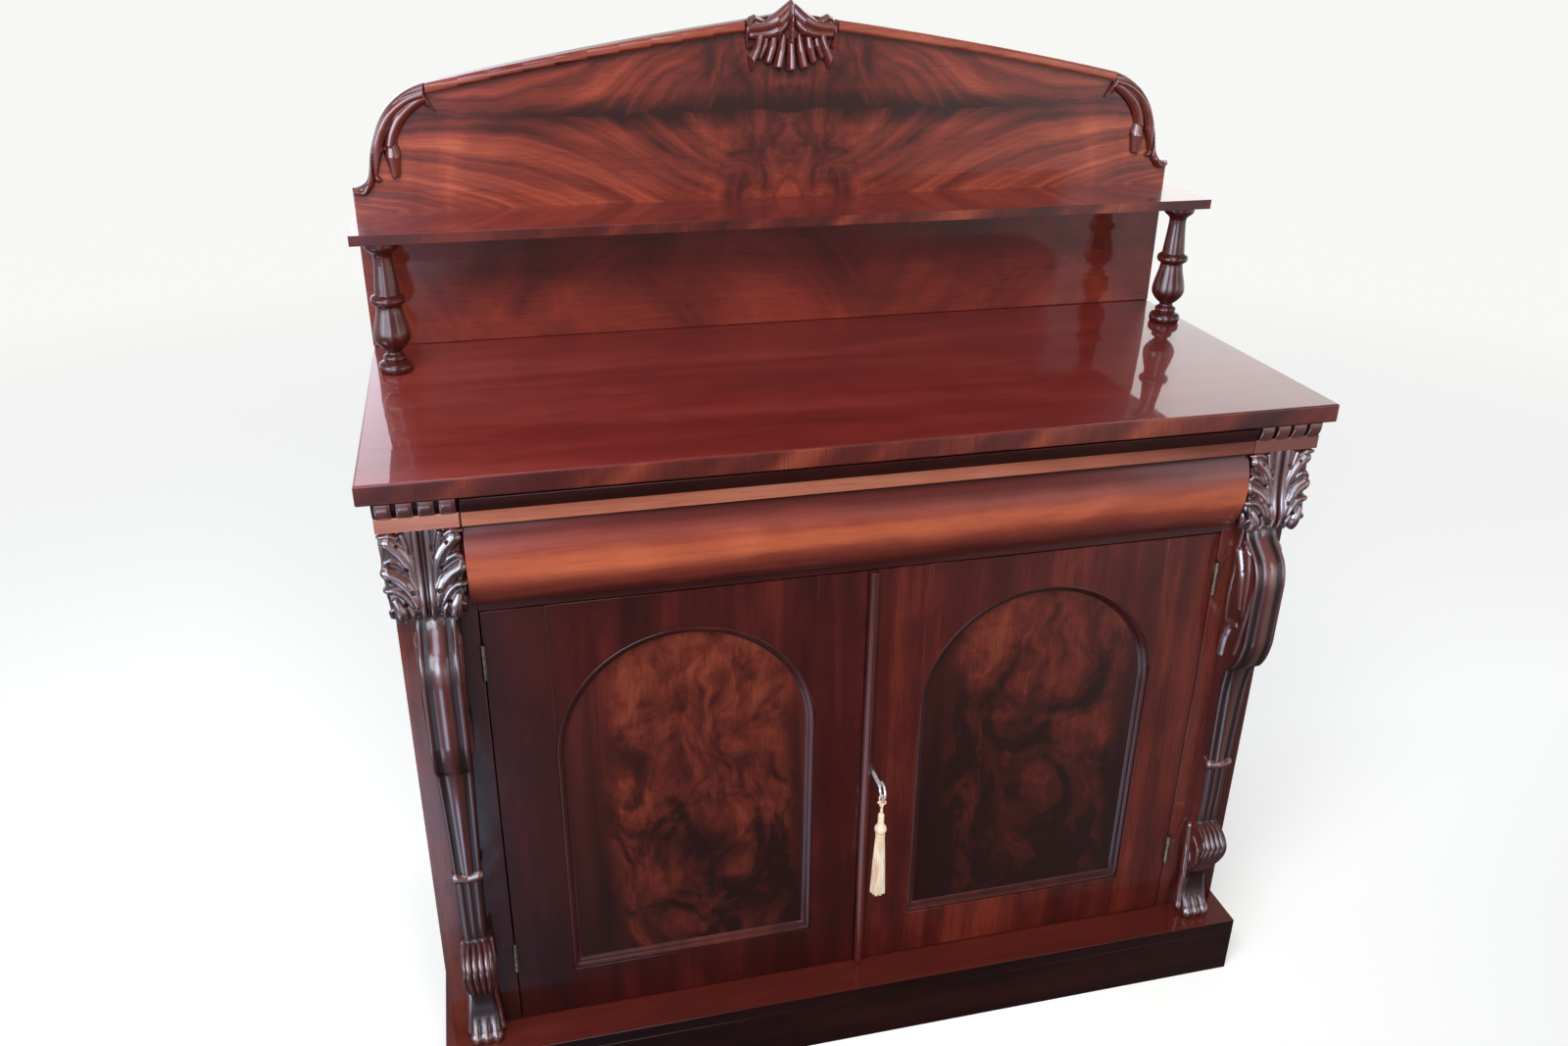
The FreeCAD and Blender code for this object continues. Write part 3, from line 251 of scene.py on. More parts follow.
def make_world():
    world = bpy.data.worlds.new("room")
    scene.world = world
    graph = Graph(world)
    where = graph.add("TexCoord").outputs["Generated"]
    sideways, _, up = graph.axes("Generated")
    rays = graph.add("LightPath").outputs
    seen = graph.ramp(up.level(-0.5, 0.12), (0.0, (0.95, 0.95, 0.935)), (0.7, (0.93, 0.93, 0.91)),
        (1.0, (0.89, 0.885, 0.86)))
    height = up.level(-1, 1)
    shown = graph.ramp(height, (0.0, 0.03), (0.22, 0.05), (0.3, 0.13), (0.38, 0.2), (0.44, 0.42),
        (0.5, 0.72), (0.58, 0.5), (0.72, 0.22), (1.0, 0.3))
    left = graph.ramp(height, (0.08, 0.1), (0.2, 0.45), (0.3, 0.35), (0.45, 0.9), (0.55, 1.0),
        (0.68, 0.3), (0.85, 0.1))
    left = sideways.level(0.05, -0.12) * left * sideways.level(-0.28, -0.5, 1.0, 0.3)
    shown = graph.mix(left, shown, (0.9, 1.02, 1.38), "ADD")
    right = graph.ramp(height, (0.15, 0.1), (0.25, 0.22), (0.38, 0.6), (0.45, 1.0), (0.52, 0.6),
        (0.58, 0.0))
    shown = graph.mix(sideways.level(0.28, 0.46) * right, shown, (0.7, 0.7, 0.72), "ADD")
    for toward, wide, glow in GLOWS:
        facing_it = graph.take("VectorMath", {0: where, 1: Vector(toward).normalized()},
            "Value", operation="DOT_PRODUCT")
        patch = facing_it.level(math.cos(math.radians(wide)), math.cos(math.radians(wide * 0.55)))
        shown = graph.mix(patch, shown, glow, "ADD")
    colour = graph.mix(rays["Is Glossy Ray"], (0.3, 0.32, 0.35), shown)
    colour = graph.mix(rays["Is Camera Ray"], colour, seen)
    graph.add("OutputWorld", {
        0: graph.add("Background", {"Color": colour, "Strength": 1.0})})


FLOOR_LIFT = 0.46  # brightness that the pale sweep has of its own, for the camera only


def make_floor():
    mesh = bpy.data.meshes.new("floor")
    with edited(mesh) as form:
        bmesh.ops.create_circle(form, cap_ends=True, radius=4.5, segments=96)
    graph = material("pale_floor")
    rays = graph.add("LightPath").outputs
    x, y, _ = graph.axes()
    fade = graph.math("SQRT", x * x + y * y).level(1.2, 4.2)
    lift = y.level(-1.0, 0.3, FLOOR_LIFT * 0.2, FLOOR_LIFT)
    pale = graph.add("BsdfDiffuse", {"Color": (0.78, 0.78, 0.767)})
    bright = graph.add("Emission", {
        "Color": (1.0, 0.995, 0.98),
        "Strength": graph.math("MULTIPLY", rays["Is Camera Ray"], lift)})
    clear = graph.add("BsdfTransparent")
    shown = graph.add("MixShader", {
        0: fade, 1: graph.add("AddShader", {0: pale, 1: bright}), 2: clear})
    mesh.materials.append(graph.surface({0: rays["Is Glossy Ray"], 1: shown, 2: clear},
        "MixShader"))
    placed("floor", mesh)


def softbox(name, spot, aim, width, height, power, colour, mirrored=True):
    data = bpy.data.lights.new(name, "AREA")
    data.shape = "RECTANGLE"
    data.size, data.size_y = width, height
    data.energy = power
    data.color = colour
    light = placed(name, data)
    light.location = spot
    light.rotation_mode = "QUATERNION"
    light.rotation_quaternion = (Vector(aim) - Vector(spot)).to_track_quat("-Z", "Y")
    light.visible_glossy = mirrored


make_world()
make_floor()
softbox("ceiling", (-0.5, -1.45, 2.45), (0, 0.1, 0.9), 1.7, 1.0, 62, (1.0, 0.97, 0.93), False)
softbox("window_left", (-2.7, -2.2, 1.7), (0, 0, 0.8), 1.6, 2.2, 46, (0.78, 0.88, 1.0))
softbox("window_right", (2.7, -2.9, 1.7), (0, 0, 0.9), 1.4, 1.8, 12, (0.9, 0.95, 1.0))

# ---- materials

DARK = (0.022, 0.0042, 0.0035)
DEEP = (0.055, 0.0085, 0.0062)
RED = (0.115, 0.0165, 0.0095)
SPINE = 1.152  # height of the dark spine in the backboard's veneer
BARB_REACH = 0.112  # how far the figure's barbs reach above and below it


def polish(graph, colour, grain="z", shift=0.0, pore=0.0, pore_tone=DARK, wave=0.02, rough=0.34,
           coat=1.0, coat_rough=0.055, coat_ior=1.5, body_gloss=0.08):
    """Wood under French polish: open pores along the grain, a clear coat with a slight wave."""
    lines = graph.noise(graph.place(stretched(grain, 26, 620), (shift, shift, 0)), 1, 2, 0.5)
    pores = lines.level(0.3, 0.46)
    if pore:
        colour = graph.mix(pores.level(0, 1, pore, 0.0), colour, pore_tone)
    height = graph.noise(graph.place(), 11, 2) + graph.noise(graph.place(), 90, 2) * 0.05
    ripple = graph.bump(height, wave, 0.02)
    return graph.surface({
        "Base Color": colour, "Roughness": rough, "Specular IOR Level": body_gloss,
        "Coat Weight": coat, "Coat Roughness": coat_rough, "Coat IOR": coat_ior,
        "Normal": graph.bump(pores, 0.12, 0.0004, Normal=ripple), "Coat Normal": ripple})


def stretched(grain, along, across):
    return [along if axis == grain else across for axis in "xyz"]


def straight(name, grain, dark, mid, light, shift=0.0, stripe=1.0, blotch=1.0, painted_light_band=None,
             toward=None, pore=0.55, **finish):
    """Straight-grained mahogany with ribbon stripe and faint mottle. A band of painted light at one
    level, with painted shade above and below it, is given as (height, half width, strength);
    toward paints light and shade across, as (x, x, from, to)."""
    graph = material(name)
    broad = graph.noise(graph.place(stretched(grain, 0.9, 5.5), (shift, 1.7, shift * 2)),
        1.6, 4, 0.55, 0.6)
    ribbon = graph.noise(graph.place(stretched(grain, 0.8, 42), (shift, 0, shift)), 1, 4, 0.6)
    mottle = graph.noise(graph.place(stretched(grain, 8, 13), (0, shift, 4)), 1.3, 3, 0.5, 0.4)
    value = (broad.level(0.28, 0.72) * (0.58 * blotch) + ribbon.level(0.25, 0.75) * (0.4 * stripe)
             + mottle.level(0.3, 0.7) * 0.16)
    x, _, z = graph.axes()
    # painted light and shade: the tone rises or falls across x
    if toward:
        value += x.level(*toward)
    # painted light band: lighter at one level, painted shade above and below it
    if painted_light_band:
        height, half, strength = painted_light_band
        off = abs(z + broad.centred(half * 0.8) - height)
        value += off.level(half * 0.3, half * 1.6, strength, -strength)
    colour = graph.ramp(value, (0.12, dark), (0.52, mid), (0.95, light))
    return polish(graph, colour, grain, shift, pore, dark, **finish)


def flame_board(name):
    """Book-matched crotch veneer: barbs sweep out from a dark spine, mirrored in the middle."""
    graph = material(name)
    x, _, z = graph.axes()
    side = abs(x)
    lift = (graph.noise((side, 0.0, z), 3.4, 3, 0.55).centred(0.1)
            + graph.noise((side, 3.0, z), 8.5, 3, 0.6).centred(0.045))
    off_spine = z + lift * 0.45 - SPINE
    above_it = graph.math("GREATER_THAN", off_spine, 0.0)
    down = abs(off_spine).level(0.0, BARB_REACH)
    out = side * 2.0 + lift * 1.1
    bowl = graph.math("SQRT", out * out + down * down * 0.11)
    far = graph.math("MAXIMUM", out - 0.22, 0.0)
    phase = bowl - (1.0 - down) * (0.1 + far * far * 0.95)
    shift = above_it * 5.3
    wide = graph.noise((phase * 10.5, down * 0.7, shift), 1.0, 2, 0.5, 0.35)
    thin = graph.noise((phase * 34, down * 1.3, shift), 1.0, 3, 0.6, 0.3)
    cloud = graph.noise((side, 9.0, z), 5.5, 3, 0.6, 0.8)
    flames = wide.level(0.34, 0.66) * 0.4 + thin.level(0.28, 0.72) * 0.34
    knots = graph.noise((side * 1.6, 2.0, z), 15, 4, 0.65, 1.6)
    plume = knots.level(0.32, 0.68) * 0.6 + 0.02
    calm = (side + cloud.centred(0.1)).level(0.05, 0.15, 0.85, 0.0)
    flames = graph.between(calm, flames, plume) + 0.12 + cloud.centred(0.85)
    spine = abs(off_spine).level(0.0, 0.026, 0.46, 0.0) * side.level(0.02, 0.12, 0.45, 1.0)
    top_dark = above_it * side.level(0.02, 0.16, 0.22, 0.06)
    value = flames - (spine + top_dark) - above_it * side.level(0.0, 0.22, 0.12, 0.0) * 0.6
    value += side.level(0.34, 0.53, 0.0, 0.13)
    flamed = graph.ramp(value, (0.0, DARK), (0.22, (0.066, 0.0105, 0.0078)),
        (0.48, (0.16, 0.025, 0.015)), (0.74, (0.28, 0.05, 0.026)),
        (1.0, (0.4, 0.095, 0.045)))
    blot = graph.noise((x, 5.0, z), 5.2, 4, 0.6, 1.2).level(0.3, 0.72)
    plain = graph.ramp(blot + side.level(0.1, 0.45, 0.0, 0.24),
        (0.0, (0.075, 0.013, 0.0105)), (0.4, (0.12, 0.019, 0.014)),
        (0.75, (0.2, 0.029, 0.019)), (1.0, (0.26, 0.043, 0.025)))
    over_shelf = z.level(1.028, 1.03)
    colour = graph.mix(over_shelf, plain, flamed)
    fibre = graph.noise(graph.place((6, 6, 210)), 1, 3, 0.6)
    colour = graph.mix(0.25, colour, graph.ramp(fibre, (0.3, 0.5), (0.65, 1.0)), "MULTIPLY")
    return polish(graph, colour, "x", pore=0.3, wave=0.012)


def crotch_panel(name, middle, shift, lightness=0.0):
    """Door panel veneer: a plume up the middle, bands that close round dark burr patches like
    contour lines, and plainer ribbon down both edges."""
    graph = material(name)
    x, _, z = graph.axes()
    flat = x - middle
    drift = graph.noise((flat, shift, z), 4.5, 3, 0.6)
    sway = graph.noise((flat, shift + 5, z), 13, 3, 0.6)
    across = flat + (drift.centred(0.12) + sway.centred(0.018))
    off = abs(across)
    cloud = graph.noise((across * 1.5, shift, z * 0.75), 5.2, 3, 0.5, 1.0)
    contour = graph.math("PINGPONG", cloud * 4.2, 0.5).level(0.0, 0.5)
    hair = graph.math("PINGPONG", cloud * 12 + sway.centred(1.2), 0.5).level(0.0, 0.22)
    veins = graph.noise((off * 80, shift, (z + off * 1.5) * 9), 1, 3, 0.6, 0.4)
    patches = graph.noise((across * 1.5, shift + 7, z), 9.0, 4, 0.62, 0.8)
    patch = patches.level(0.5, 0.38) * z.level(0.62, 0.34, 0.25, 1.0)
    dapple = graph.noise((across * 1.4, shift + 2, z), 30, 4, 0.65, 1.2)
    ribbon = graph.noise((flat * 70, shift, z * 1.5), 1, 3, 0.6, 0.3)
    value = (contour * 0.2 + z.level(0.18, 0.62, 0.14, 0.5) + hair.centred(0.07)
             + veins.centred(0.34) + dapple.centred(0.44)
             + patches.level(0.38, 0.66).centred(0.26) - patch * 0.3)
    stem = off.level(0.0, 0.008, 0.16, 0.0) * z.level(0.4, 0.56)
    plain = ribbon.centred(0.5) + z.level(0.18, 0.62, 0.06, 0.44)
    edge = (abs(flat) + drift.centred(0.07)).level(0.1, 0.125)
    value = graph.between(edge, value - stem, plain) + lightness
    colour = graph.ramp(value, (0.05, (0.018, 0.0048, 0.0042)), (0.28, (0.046, 0.0082, 0.006)),
        (0.5, (0.105, 0.0165, 0.01)), (0.74, (0.18, 0.036, 0.018)),
        (1.0, (0.25, 0.078, 0.035)))
    return polish(graph, colour, "z", shift, 0.45, (0.02, 0.008, 0.005), wave=0.012, coat=0.9,
                  coat_rough=0.08)


def crossbanded(name, shift=0.0):
    """Edge veneer laid across: short blocks of lighter and darker stripes along X."""
    graph = material(name)
    x, y, z = graph.axes()
    blocks = graph.noise(((x + y - z * 1.1) * 9, shift, z), 1, 2, 0.5, 0.3)
    stripes = graph.noise(graph.place((46, 40, 3.0), (shift, 0, 0)), 1, 4, 0.65, 0.5)
    value = blocks.level(0.36, 0.64) * 0.82 + stripes.level(0.3, 0.7) * 0.2
    colour = graph.ramp(value, (0.1, (0.034, 0.0062, 0.0052)), (0.5, (0.078, 0.0122, 0.0092)),
        (0.72, (0.13, 0.021, 0.013)), (0.88, (0.175, 0.034, 0.018)),
        (1.0, (0.24, 0.052, 0.024)))
    return polish(graph, colour, "z", shift, 0.4)


def carved(name, dark=DARK, mid=DEEP, light=RED, **finish):
    """Dark polished carving: painted shade makes concave creases and the hollows of the relief near
    black and thins the coat there; lighter on the sharpest ridges.
    """
    graph = material(name)
    tone = graph.noise(graph.place((9, 9, 4)), 1.5, 4, 0.6, 0.5)
    colour = graph.ramp(tone, (0.25, dark), (0.5, mid), (0.78, light))
    ridge = graph.take("NewGeometry", output="Pointiness")
    colour = graph.mix(ridge.level(0.52, 0.66, 0.0, 0.35), colour, light)
    # painted shade: concave creases go near black
    colour = graph.mix(ridge.level(0.49, 0.42, 0.0, 0.8), colour, (0.01, 0.003, 0.0025))
    # painted shade: the hollows of the stored relief go near black, and the coat thins there
    carved_up = graph.take("Attribute", output="Fac", attribute_name="relief")
    colour = graph.mix(carved_up.level(0.0, 0.5, 0.9, 0.0), colour, (0.007, 0.0024, 0.0021))
    return polish(graph, colour, "z", 2.0, wave=0.004, rough=0.36,
                  coat=carved_up.level(0.05, 0.5, 0.12, 1.0), **finish)


def plain_timber(name, grain):
    """Unpolished secondary timber, darkened by age."""
    graph = material(name)
    broad = graph.noise(graph.place(stretched(grain, 1.1, 13)), 1, 4, 0.6, 0.8)
    rings = graph.noise(graph.place(stretched(grain, 1.6, 90)), 1, 3, 0.6)
    dirt = graph.noise(graph.place((2.5, 2.5, 2.5)), 1, 4, 0.65)
    fibre = graph.noise(graph.place(stretched(grain, 20, 500)), 1, 2)
    colour = graph.ramp(broad * 0.6 + rings * 0.4, (0.3, (0.13, 0.062, 0.026)),
        (0.7, (0.34, 0.2, 0.095)))
    colour = graph.mix(dirt.level(0.45, 0.75, 0.0, 0.5), colour, (0.09, 0.05, 0.03))
    return graph.surface({"Base Color": colour, "Roughness": 0.72, "Specular IOR Level": 0.25,
        "Normal": graph.bump(fibre, 0.25, 0.0006)})


def metal(name, light, dark, rough, metallic=1.0):
    graph = material(name)
    spots = graph.noise(graph.place(), 210, 4, 0.65)
    smear = graph.noise(graph.place(), 45, 3, 0.6, 0.8)
    return graph.surface({
        "Base Color": graph.mix(spots.level(0.42, 0.7), light, dark), "Metallic": metallic,
        "Roughness": smear.level(0.3, 0.7, rough - 0.08, rough + 0.14),
        "Normal": graph.bump(spots, 0.15, 0.0002)})


def silk(name):
    """Ivory silk threads, yellowed and rubbed darker in places."""
    graph = material(name)
    threads = graph.noise(graph.place((900, 900, 30)), 1, 3, 0.6)
    age = graph.noise(graph.place((60, 60, 14)), 1, 3, 0.6, 0.5)
    colour = graph.ramp(threads * 0.55 + age * 0.45,
        (0.33, (0.52, 0.27, 0.14)), (0.46, (0.76, 0.56, 0.38)),
        (0.58, (0.88, 0.78, 0.64)), (0.75, (0.93, 0.88, 0.8)))
    return graph.surface({
        "Base Color": colour, "Roughness": 0.62, "Sheen Weight": 0.35, "Sheen Roughness": 0.4,
        "Subsurface Weight": 0.08, "Subsurface Radius": (0.004, 0.002, 0.001),
        "Normal": graph.bump(threads, 0.4, 0.0005)})


M = {
    "flame": flame_board("flame_veneer"),
    "panel_left": crotch_panel("crotch_left", -0.205, 1.3),
    "panel_right": crotch_panel("crotch_right", 0.235, 4.1, -0.18),
    # top: lighter towards its left end: painted light
    "top": straight("top_veneer", "x", (0.085, 0.01, 0.0095), (0.145, 0.0175, 0.015),
        (0.23, 0.038, 0.031), 0.3, 0.5, 1.0, toward=(-0.56, -0.15, 0.34, 0.0),
        coat_rough=0.035, wave=0.008),
    # left door: darker towards its left edge: painted shade
    "frame_left": straight("left_door_wood", "z", (0.017, 0.003, 0.0028), (0.043, 0.0054, 0.0044),
        (0.125, 0.016, 0.01), 5.1, 1.0, 0.95,
        toward=(-0.45, 0.05, -0.28, 0.06)),
    "frame_right": straight("right_door_wood", "z", (0.024, 0.0038, 0.0032), (0.064, 0.0082, 0.0058),
        (0.175, 0.026, 0.014), 9.4, 1.0, 0.95,
        toward=(-0.05, 0.45, 0.02, -0.02)),
    "moulding": straight("moulding_wood", "z", DARK, (0.036, 0.0056, 0.0045),
        (0.085, 0.014, 0.0095), 2.6, coat=0.8, coat_rough=0.15),
    "plinth": straight("plinth_wood", "x", (0.005, 0.0018, 0.0017), (0.01, 0.0028, 0.0024),
        (0.026, 0.0052, 0.004), 6.0, coat=0.5),
    # near-black wood for the drawer cornice's bead, which lies in the shade of the top: painted shade
    "dark_bead": straight("dark_bead", "x", (0.008, 0.0024, 0.0021), (0.018, 0.004, 0.0033),
        (0.04, 0.0075, 0.0055), 1.9, coat=0.4),
    # base board's top: a far lighter copy of the plinth's wood: painted light
    "base_top": straight("base_board_wood", "x", (0.05, 0.0075, 0.0056), (0.092, 0.013, 0.009),
        (0.155, 0.026, 0.0155), 2.2, 0.8, 0.8),
    # near-black wood for the gaps between the nulled lobes: painted shade
    "gap": straight("gap_painted_shade", "z", (0.004, 0.0016, 0.0015), (0.007, 0.0022, 0.002),
        (0.012, 0.003, 0.0025), 3.0, coat=0.1),
    "rake": straight("rake_wood", "x", (0.1, 0.015, 0.011), (0.21, 0.04, 0.0235),
        (0.38, 0.11, 0.06), 2.9, coat_rough=0.16, wave=0.004),
    # left stile: lighter outside the corbel as painted light, darker between corbel and door as painted
    # shade
    "stile_left": straight("left_stile_wood", "z", DARK, (0.06, 0.0105, 0.0075),
        (0.2, 0.04, 0.019), 4.3, toward=(-0.515, -0.48, 0.16, -0.34)),
    # right stile: darker beyond the corbel towards the outside: painted shade
    "stile_right": straight("right_stile_wood", "z", DARK, (0.06, 0.0095, 0.0066),
        (0.15, 0.027, 0.0145), 4.3, toward=(0.466, 0.5, 0.02, -0.2)),
    "side": straight("side_veneer", "z", DARK, DEEP, RED, 7.7, blotch=1.2),
    # cushion front: a lighter band at mid height as painted light, darker above and below it as painted
    # shade
    "cushion": straight("cushion_veneer", "x", (0.07, 0.009, 0.007), (0.21, 0.036, 0.02),
        (0.52, 0.125, 0.052), 3.4, 0.45, 0.7, painted_light_band=(0.757, 0.026, 0.3),
        pore=0.25, coat_rough=0.16),
    # pale fillet under the drawer cornice's bead, darker towards the right: painted light
    "pale_x": straight("pale_band", "x", (0.13, 0.034, 0.023), (0.29, 0.086, 0.05),
        (0.42, 0.165, 0.1), 8.8, pore=0.3, toward=(-0.1, 0.46, 0.06, -0.5)),
    # pale fillet of the cornices over the capitals, darker towards the right: painted light
    "pale_cap": straight("pale_cap", "x", (0.14, 0.044, 0.034), (0.34, 0.13, 0.091),
        (0.46, 0.21, 0.15), 5.5, pore=0.2, coat_rough=0.14,
        toward=(-0.4, 0.5, 0.05, -0.5)),
    "dark_x": straight("dark_band", "x", DARK, DEEP, RED, 1.1),
    "dark_z": straight("dark_upright", "z", DARK, DEEP, RED, 6.6),
    "band": crossbanded("crossband"),
    "carving": carved("carving", (0.03, 0.0052, 0.0042), (0.078, 0.012, 0.0086),
        (0.15, 0.026, 0.016), coat_rough=0.15, coat_ior=2.0, body_gloss=0.4),
    "capital": carved("capital_carving", coat_rough=0.18, coat_ior=2.2, body_gloss=0.8),
    "leaf": carved("leaf_carving", (0.06, 0.0105, 0.0085), (0.125, 0.023, 0.016),
        (0.21, 0.05, 0.032), coat_rough=0.17, coat_ior=1.85),
    "raw_x": plain_timber("timber_x", "x"),
    "raw_y": plain_timber("timber_y", "y"),
    "raw_z": plain_timber("timber_z", "z"),
    "brass": metal("aged_brass", (0.34, 0.28, 0.19), (0.1, 0.07, 0.045), 0.36),
    "key_steel": metal("key_steel", (0.9, 0.91, 0.93), (0.42, 0.41, 0.4), 0.3, 0.6),
    "silk": silk("ivory_silk"),
    "steel": metal("lock_steel", (0.42, 0.41, 0.39), (0.12, 0.09, 0.07), 0.38),
}

# ---- dressed boards


def dressed(name, data, node, *slots):
    """A piece that stands for a CAD node and rides on its body, in the given materials."""
    piece = placed(name, data)
    for slot in slots:
        data.materials.append(M[slot])
    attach(piece, BODY_OF[node])
    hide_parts(node)
    return piece


def eased(node, *slots, width=0.7, pick=None):
    """A copy of a CAD board with softened arrises, which stands for the board."""
    mesh = bpy.data.meshes.new(f"{node}_look")
    with edited(mesh, NODES[node].data) as form:
        bmesh.ops.remove_doubles(form, verts=form.verts, dist=1e-5)
        bmesh.ops.dissolve_limit(form, angle_limit=math.radians(0.5), verts=form.verts,
            edges=form.edges)
    mesh.materials.clear()
    bevel = dressed(f"{node}_look", mesh, node, *slots).modifiers.new("arris", "BEVEL")
    bevel.width = width / 1000
    bevel.segments = 2
    bevel.limit_method = "ANGLE"
    bevel.angle_limit = math.radians(38)
    bevel.use_clamp_overlap = True
    for polygon in mesh.polygons:
        polygon.material_index = pick(polygon) if pick else 0
    smooth(mesh, 38)


def facing(axis, sign=None):
    """Picks the second material for faces along an axis."""
    def pick(polygon):
        along = polygon.normal["xyz".index(axis)]
        return int((abs(along) if sign is None else along * sign) > 0.7)
    return pick


def above(level):
    """Picks the second material for faces above a height."""
    return lambda polygon: int(polygon.center.z * 1000 > level)


# ---- carving tools

def corners(node):
    """Lowest and highest corner of a CAD node."""
    low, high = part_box(node)
    return Vector(low) * 1000, Vector(high) * 1000


def half_width(node):
    low, high = corners(node)
    return (high.x - low.x) / 2


def curve(points, count=36):
    """Evenly numbered spots on a smooth curve through the points."""
    spots = np.array(points, float)
    spots = np.vstack([2 * spots[0] - spots[1], spots, 2 * spots[-1] - spots[-2]])
    where = np.linspace(0, len(points) - 1.0001, count)
    first = where.astype(int)
    part = (where - first)[:, None]
    before, start, end, after = (spots[first + step] for step in range(4))
    return 0.5 * (2 * start + (end - before) * part
                  + (2 * before - 5 * start + 4 * end - after) * part ** 2
                  + (3 * start - before - 3 * end + after) * part ** 3)


def off_line(x, z, start, end):
    """Distance to a straight line between two spots, and where along it the nearest spot is."""
    run_x, run_z = end[0] - start[0], end[1] - start[1]
    part = ((x - start[0]) * run_x + (z - start[1]) * run_z) / max(run_x ** 2 + run_z ** 2, 1e-9)
    part = np.clip(part, 0, 1)
    return np.hypot(x - start[0] - part * run_x, z - start[1] - part * run_z), part


def stroke(across, up, path, swell):
    """Distance to a curve and the stroke's size there; swell is its size at foot, middle and tip."""
    spots = curve(path)
    nearest = np.full(across.shape, 1e9)
    along = np.zeros(across.shape)
    for number, (start, end) in enumerate(zip(spots[:-1], spots[1:])):
        gap, part = off_line(across, up, start, end)
        along = np.where(gap < nearest, (number + part) / (len(spots) - 1), along)
        nearest = np.minimum(nearest, gap)
    return nearest, np.interp(along, (0, 0.5, 1), swell)


def ridge(across, up, path, wide, high, swell=(0.5, 1.0, 0.45), firm=0.75):
    """Height of a rounded ridge that follows a curve."""
    gap, size = stroke(across, up, path, swell)
    return high * size * np.clip(1 - (gap / (wide * size)) ** 2, 0, 1) ** firm


def ridges(across, up, strokes, firm, height):
    """The highest of a base height and ridges, given as (path, half width, height, swell)."""
    for path, wide, high, swell in strokes:
        height = np.maximum(height, ridge(across, up, path, wide, high, swell, firm))
    return height


def within(across, up, strokes):
    """How far inside a set of strokes a spot is; negative outside all of them."""
    reach = np.full(across.shape, -1e9)
    for path, wide, high, swell in strokes:
        gap, size = stroke(across, up, path, swell)
        reach = np.maximum(reach, wide * size - gap)
    return reach


def bead(across, up, spot, size, high):
    """Height of a small round bead."""
    gap = np.hypot(across - spot[0], up - spot[1])
    return high * np.clip(1 - (gap / size) ** 2, 0, 1) ** 0.6


def step_between(value, low, high):
    part = np.clip((value - low) / (high - low), 0, 1)
    return part * part * (3 - 2 * part)


def note_relief(mesh, height):
    """Stores how far each point stands up in the carving, from 0 in the hollows to 1; the carving
    material paints shade into the hollows from it.
    """
    low, high = np.percentile(height, (4, 93))
    share = np.clip((height - low) / max(high - low, 1e-6), 0, 1)
    layer = mesh.attributes.new("relief", "FLOAT", "POINT")
    layer.data.foreach_set("value", share.ravel().astype(np.float32))


def front_line(node, heights, wall):
    """How far forward a CAD piece stands at each height."""
    spots = {}
    for vertex in NODES[node].data.vertices:
        y, z = vertex.co.y * 1000, round(vertex.co.z * 1000, 2)
        if y < wall + 5:
            spots[z] = min(y, spots.get(z, wall))
    levels = sorted(spots)
    return np.interp(heights, levels, [spots[z] for z in levels])


def round_block(front, wide, corner, walls, counts):
    """A level's line round a block, from its inner wall to its outer one: how far out, y, and
    the distance from the middle along the surface. counts are of its flat, side and rounding."""
    flat_count, side_count, round_count = counts
    turn = min(corner, walls[0] - front - 0.2)
    angles = np.linspace(0, math.pi / 2, round_count)[1:-1]
    run = np.linspace(0, 1, side_count)
    flat = np.linspace(turn - wide, wide - turn, flat_count)
    sides = []
    for wall in walls:
        deep = wall - front - turn
        sides.append((np.concatenate([wide - turn + turn * np.sin(angles), run * 0 + wide]),
                      np.concatenate([front + turn - turn * np.cos(angles), front + turn + run * deep]),
                      wide - turn + np.concatenate([turn * angles, turn * math.pi / 2 + run * deep])))
    (inner_x, inner_y, inner_s), (outer_x, outer_y, outer_s) = sides
    return (np.concatenate([-inner_x[::-1], flat, outer_x]),
            np.concatenate([inner_y[::-1], np.full(flat.shape, front), outer_y]),
            np.concatenate([-inner_s[::-1], flat, outer_s]))


